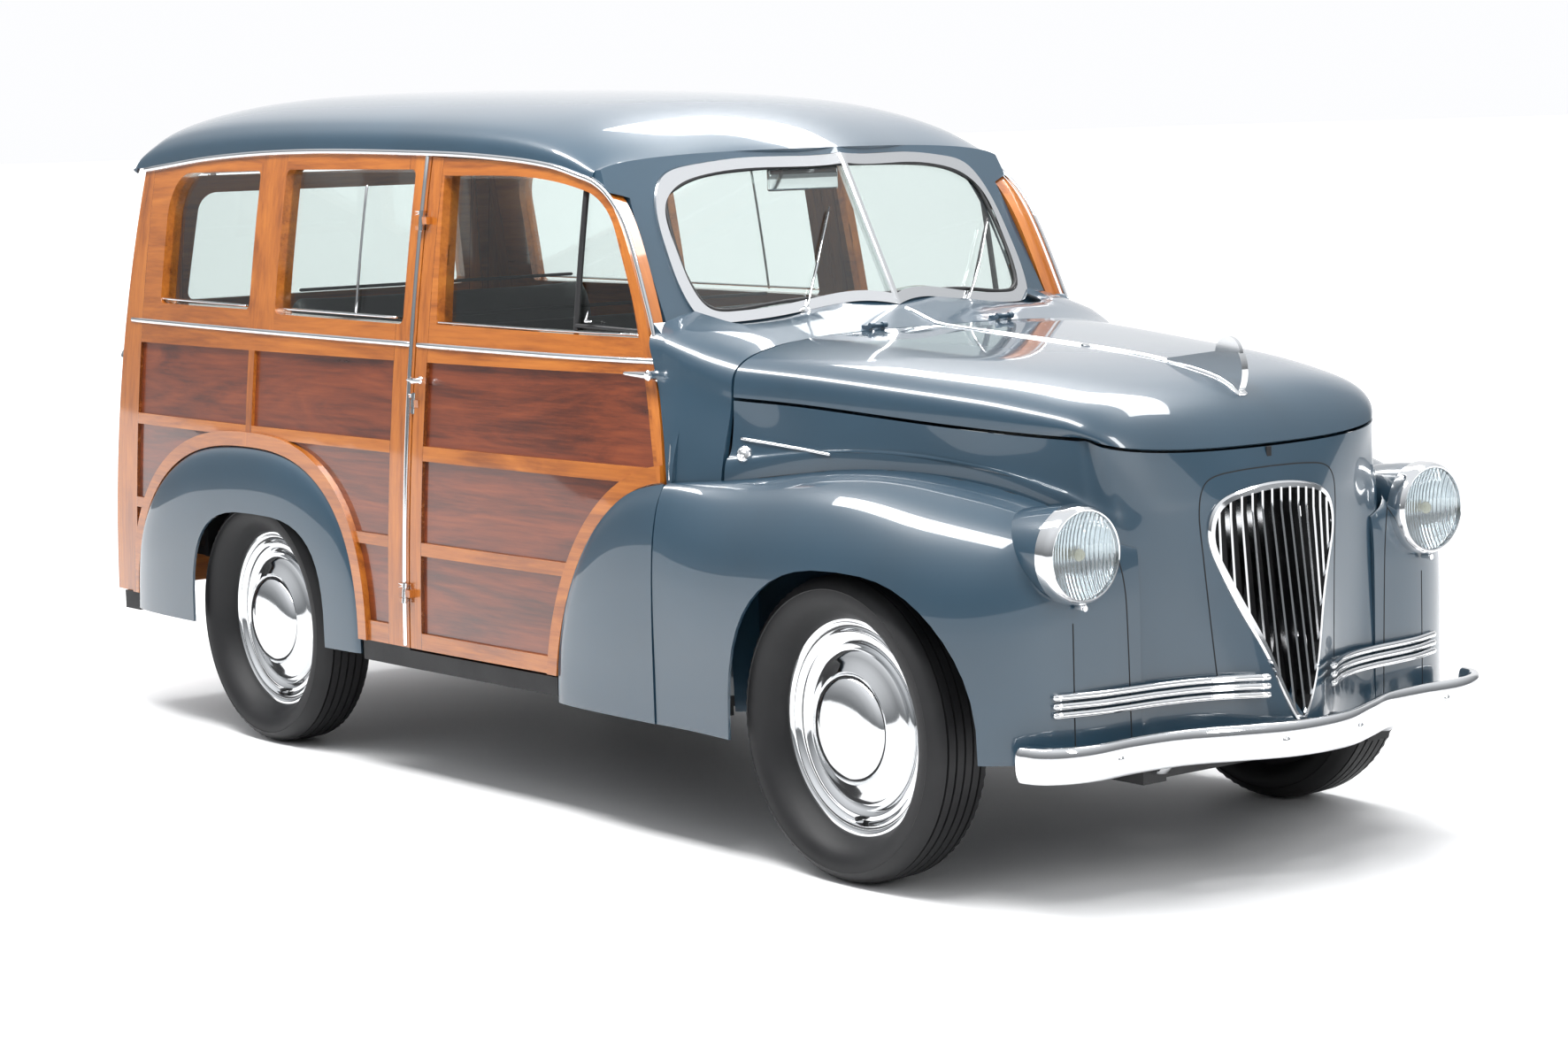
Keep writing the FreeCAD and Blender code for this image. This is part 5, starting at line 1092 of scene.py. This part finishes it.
# %% Hood and nose trim
rearwards, down, inwards = (-1, 0, 0), (0, 0, -1), (0, 1, 0)
crown = laid([(x, 0, 1400) for x in range(700, 1775, 35)], down, ("hood", "cowl"), 1.0)
nose_run = laid([(2100, 0, z) for z in (1068, 1058, 1046, 1032, 1016, 998)], rearwards, ("hood",), 1.0)
placed("hood_strip", drawn(crown, 11, 8), chrome, "hood")
flare = drawn(crown[-14:] + [point for point in nose_run if point.x > crown[-1].x], 15, 9)
for vert in flare.verts:
    vert.co.y *= 1.0 + 1.1 * smoothstep(vert.co.x, 1.42, 1.72) - 1.2 * smoothstep(vert.co.x, 1.76, 1.83)
placed("hood_flare", flare, chrome, "hood")
spear_line = [(850 + 265 * i / 10, -1200, 905 - 22 * i / 10) for i in range(11)]
spear = laid(spear_line, inwards, ("nose_panel", "cowl"), 1.5)
both_sides("side_spear", drawn(spear, 6, 7), chrome, "body")
spot, normal, _ = landing((862, -1200, 872), inwards, "nose_panel", "cowl")
knob = turned([(-3, 19), (3, 19), (7, 17), (9, 13), (7, 10), (8, 7), (10, 5), (11, 0)], spot, normal, 32)
both_sides("hood_lock", knob, chrome, "body")


def seam(name, starts, direction, *names):
    """A thin dark line laid on the skins of both sides, where two panels meet."""
    line = laid(starts, direction, names, 0.15)
    both_sides(name, drawn(line, 3.0, 1.2, Vector(direction) * -1), void_black, "body")


fender_top = [(912, 607), (1100, 577), (1290, 547), (1450, 509), (1590, 484), (1685, 462), (1722, 446)]
fender_front = [(-430, 752), (-398, 710), (-382, 640), (-377, 540), (-374, 420), (-372, 312)]
grille_frame = [
    (-172, 441), (-182, 560), (-192, 680), (-199, 770), (-190, 822), (-160, 845), (-90, 853), (0, 855)]
seam("fender_seam", [(x, -y, 1400) for x, y in fender_top], down, "front_fenders")
seam("fender_front_seam", smooth_line([(2200, y, z) for y, z in fender_front], 6), rearwards, "nose_panel",
     "front_fenders")
seam("lamp_seam", [(2300, -512, z) for z in range(310, 606, 30)], rearwards, "nose_panel", "front_fenders")
seam("grille_panel_seam", smooth_line([(2300, y, z) for y, z in grille_frame]), rearwards, "nose_panel")
x, y, z = landing((2300, 0, 880), rearwards, "nose_panel")[0]
placed("nose_slot", box_work((x - 3, y - 7, z - 15), (x + 1.5, y + 7, z + 15), 1.2), void_black, "body")
print("hood and nose trim ready")

# %% [markdown]
# ## Bumper and nose bars
# The bumper is a spring-steel blade, convex, with its ends rolled back. Each nose bar is a half-round
# rod.

# %% Bumper and bars
blade_half = [
    (2005, 0), (1994, 90), (1954, 190), (1908, 300), (1894, 420), (1898, 530), (1880, 600), (1846, 640),
    (1806, 653)]
blade_z, blade_high, blade_deep = 315.0, 74.0, 26.0
bar_plan = [(1792, 556), (1818, 470), (1828, 390), (1834, 320), (1852, 235), (1882, 165), (1926, 96)]
blade_line = smooth_line([(x - blade_deep / 2, -y, blade_z) for x, y in reversed(blade_half)]
                         + [(x - blade_deep / 2, y, blade_z) for x, y in blade_half[1:]], 6)
blade_parts = [drawn(blade_line, blade_deep, blade_high, (0, 0, 1), 32, 3.0)]
for y in (-470, -105, 105, 470):
    nearest = min(blade_line, key=lambda point: abs(point.y - y))
    facing = (1, math.copysign(0.25, y), 0)
    blade_parts.append(turned([(8, 9), (14, 8.5), (17, 6), (18, 0)], nearest, facing, 24))
for y in (-330, 330):
    arm_line = [(1838, y, 264), (1862, y, 268), (1884, y, 290), (1887, y, 312)]
    blade_parts.append(drawn(arm_line, 28, 16, (0.5, 0, 1)))
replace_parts(placed("bumper_blade", joined(*blade_parts), chrome, "body", 50.0), "front_bumper")
rods = [drawn(smooth_line([(x, -y, z) for x, y in bar_plan], 6), 15, 14.5, (0, 0, 1), 16)
        for z in (400, 418, 436)]
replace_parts(both_sides("nose_rods", joined(*rods), chrome, "body"), "nose_bars")
print("bumper and bars ready")

# %% [markdown]
# ## Cabin
# Two bench seats in black leather are blown up as cloth skins over a simple block, as a stuffed cushion
# would be. A cream steering wheel, a mirror and a pale roof lining finish what shows through the glass.

# %% Seats
voxel, last_frame, growth = 0.014, 20, 0.010


def stuffed(name, work):
    """A cushion: the block is remeshed, its skin is blown up by pressure, and its growth is held to a cap."""
    cushion = placed(name, work, leather, "body")
    remesh = cushion.modifiers.new("remesh", "REMESH")
    remesh.mode, remesh.voxel_size = "VOXEL", voxel
    rest = settled(cushion)
    cushion.modifiers.clear()
    cushion.data = rest
    start = [vert.co.copy() for vert in rest.vertices]
    cloth = cushion.modifiers.new("cloth", "CLOTH")
    cloth.settings.use_pressure = True
    cloth.settings.uniform_pressure_force = 4.0
    cloth.settings.effector_weights.gravity = 0.0
    cloth.point_cache.frame_start, cloth.point_cache.frame_end = 1, last_frame
    for frame_number in range(1, last_frame + 1):
        bpy.context.scene.frame_set(frame_number)
    blown = settled(cushion)
    cushion.modifiers.clear()
    for vert, before, after in zip(rest.vertices, start, blown.vertices):
        move = after.co - before
        vert.co = before + move * min(1.0, growth / max(move.length, 1e-6))
    bpy.context.scene.frame_set(1)
    bpy.data.meshes.remove(blown)
    for polygon in rest.polygons:
        polygon.use_smooth = True
    soft = cushion.modifiers.new("soft", "SUBSURF")
    soft.levels = soft.render_levels = 1
    return cushion


# Each bench: x of its front and back, z of its seat and top, half its width, and z of the floor below it.
for name, front, rear, seat, top, half, foot in (("front", 60, -380, 690, 1145, 560, 445),
                                                 ("rear", -740, -1170, 760, 1190, 490, 486)):
    block = box_work((rear + 4, -half + 8, seat - 126), (front - 8, half - 8, seat - 8), 38)
    cushion = stuffed(name + "_seat_cushion", block)
    side_view = [(rear + 12, seat - 120), (rear - 88, top - 64), (rear - 128, top - 14),
                 (rear - 172, top - 52), (rear - 104, seat - 120)]
    back = prism([(x, 8 - half, z) for x, z in side_view], (0, 2 * (half - 8), 0))
    stuffed(name + "_seat_back", rounded(back, 26))
    plinth = box_work((rear + 44, 64 - half, foot), (front - 64, half - 64, seat - 124), 8)
    placed(name + "_seat_plinth", plinth, leather, "body")
    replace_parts(cushion, name + "_seat")
    piping = [(rear - 128, y, top - 10) for y in range(-half + 40, half - 39, 40)]
    placed(name + "_seat_piping", drawn(piping, 9, 9, (0, 0, 1), 10), leather, "body")
print("seats ready")

# %% [markdown]
# ## Wheel, mirror and lining
# The steering rim is a ring turned round the column, and its horn button is a small dome. The lining
# takes the roof's own stations, drawn in by 30 mm, so it stays below the steel all along.

# %% Steering wheel, mirror and lining
hub, axle = Vector((215, 335, 1010)), Vector((-0.80, 0, 0.60))
rim_radius, grip_radius = 196, 13.8
turns = [math.tau * i / 14 for i in range(15)]
rim = [(grip_radius * math.sin(turn), rim_radius + grip_radius * math.cos(turn)) for turn in turns]
placed("steering_rim", turned(rim, hub, axle, 96), ivory, "steering_wheel")
horn = turned([(18, 33), (22, 31), (25, 24), (27, 12), (27.5, 0)], hub, axle, 48)
placed("steering_cap", horn, chrome, "steering_wheel")
mirror_stem = drawn([(318, 0, 1560), (330, 0, 1515), (326, 0, 1478)], 9, 9, (0, 1, 0))
placed("mirror", joined(box_work((318, -105, 1425), (332, 105, 1480), 6), mirror_stem), chrome, "body")
lining_work = bmesh.new()
lining_work.from_mesh(through_stations(roof_rows(30.0), 2))
placed("roof_lining", lining_work, lining, "body")
print("cabin ready")

# %% [markdown]
# ## Rear end
# Round lamps stand in bright rings on the corner posts, and the tailgate has a bar handle on a round
# boss.

# %% Rear end
lamp_rear = (-1990.0, -598.0, 985.0)
ring_shape = [(-2, 30.4), (-2, 36), (10, 36), (22, 34), (27, 31.5), (27, 30.4), (-2, 30.4)]
both_sides("tail_lamp_rings", turned(ring_shape, lamp_rear, rearwards, 48), chrome, "body")
boss = turned([(-14, 12), (0, 12), (4, 8), (14, 8), (18, 0)], (-1993, 0, 1040), rearwards, 32)
grip = drawn([(-2003, -52, 1040), (-2006, 0, 1041), (-2003, 52, 1040)], 11, 14)
placed("tailgate_handle", joined(boss, grip), chrome, "tailgate")
print("rear end ready")

# %% [markdown]
# ## Finishes on the nodes that stay
# The running gear, the floor, the glass and the red lamps look right as they are packed, so they keep
# their own meshes and only take a finish.

# %% Finishes on the nodes that stay
for finish, names in ((underside, "chassis_frame floor_pan tunnel load_floor wheel_houses sills"),
                      (underside, "front_axle rear_axle leaf_springs knuckle_right knuckle_left"),
                      (engine_paint, "engine_block"), (core_black, "radiator"), (red_lens, "tail_lamps"),
                      (glass, "side_glass windshield_glass hatch_glass door_glass_right door_glass_left"),
                      (ivory, "steering_wheel")):
    for node in names.split():
        for slot in nodes[node].material_slots:
            slot.material = finish.material
    print(finish.material.name + ":", names)

# %% [markdown]
# ## Floor, light and camera
# The car stands on a pale floor in plain soft light: a long softbox over each side for the bright bands
# along roof and hood, and a weaker one in front. The wall behind the car is white, and the rest of the
# room is grey at eye level and bright above, because paint and chrome show little but what they mirror.
# The camera stands where the photographer stood.

# %% Floor and softboxes
bm = bmesh.new()
bmesh.ops.create_grid(bm, x_segments=2, y_segments=2, size=400.0)
floor = as_object("floor", bm)
pale = Finish("pale_floor", Roughness=0.55, Specular_IOR_Level=0.2, Emission_Strength=1.0)
pale.clouded(0.8, (0.3, (0.83, 0.83, 0.83)), (0.7, (0.85, 0.85, 0.85)))
floor_x, floor_y, _ = pale.place()
far_out = (floor_x * floor_x + floor_y * floor_y).sum("SQRT") * 0.1
pale.set("Emission Color", pale.ramp(far_out, (0.22, (0.0, 0.0, 0.0)), (0.65, (0.62, 0.62, 0.62))))
floor.data.materials.append(pale.material)


def softbox(name, place, aim, size, power):
    """A wide soft lamp at a place, turned to what it lights."""
    light = bpy.data.lights.new(name, "AREA")
    light.shape, light.size, light.size_y, light.energy = "RECTANGLE", size[0], size[1], power
    box = bpy.data.objects.new(name, light)
    box.location = place
    box.rotation_euler = (Vector(aim) - Vector(place)).to_track_quat("-Z", "Y").to_euler()
    bpy.context.collection.objects.link(box)


softbox("overhead_right", (0.0, -1.9, 4.4), (0.0, -0.3, 1.2), (5.6, 0.9), 300.0)
softbox("overhead_left", (0.0, 1.9, 4.4), (0.0, 0.3, 1.2), (5.6, 0.9), 200.0)
softbox("front_strip", (6.2, -0.6, 3.2), (1.2, 0.0, 0.8), (0.7, 2.6), 90.0)
print("lights:", len(bpy.data.lights))

# %% Room and camera
world = bpy.data.worlds.new("studio")
world.use_nodes = True
sky = Network(world.node_tree)
ahead_x, left_y, up_z = sky.place("Generated")
white_share = sky.node("ShaderNodeMapRange", {"interpolation_type": "SMOOTHSTEP"},
                       {"Value": (ahead_x * -1.0).sum("MINIMUM", left_y), "From Min": 0.05, "From Max": 0.33})
room = sky.ramp(up_z, (0.05, (0.20, 0.21, 0.22)), (0.75, (0.95, 0.97, 1.0)))
shade = sky.blend(white_share, room, (0.98, 0.985, 1.0, 1.0))
sky.tree.links.new(shade.socket, sky.tree.nodes["Background"].inputs["Color"])
bpy.context.scene.world = world
bpy.context.scene.view_settings.view_transform = "Standard"

# The wheels in the photograph give its focal length, in pixels, and the camera's place and axes.
photo_width, focal_pixels, sensor = 1772.0, 3829.0, 36.0
camera_place = (6.7061, -5.0244, 1.5717)
right, up = (0.61442, 0.78840, -0.03026), (-0.07259, 0.09468, 0.99286)
ahead = (-0.78563, 0.60784, -0.11540)
view = bpy.data.cameras.new("camera")
view.sensor_width, view.lens = sensor, sensor * focal_pixels / photo_width
camera = bpy.data.objects.new("camera", view)
bpy.context.collection.objects.link(camera)
rows = [(right[i], up[i], -ahead[i], camera_place[i]) for i in range(3)]
camera.matrix_world = Matrix(rows + [(0, 0, 0, 1)])
bpy.context.scene.camera = camera
print("camera at", camera_place)
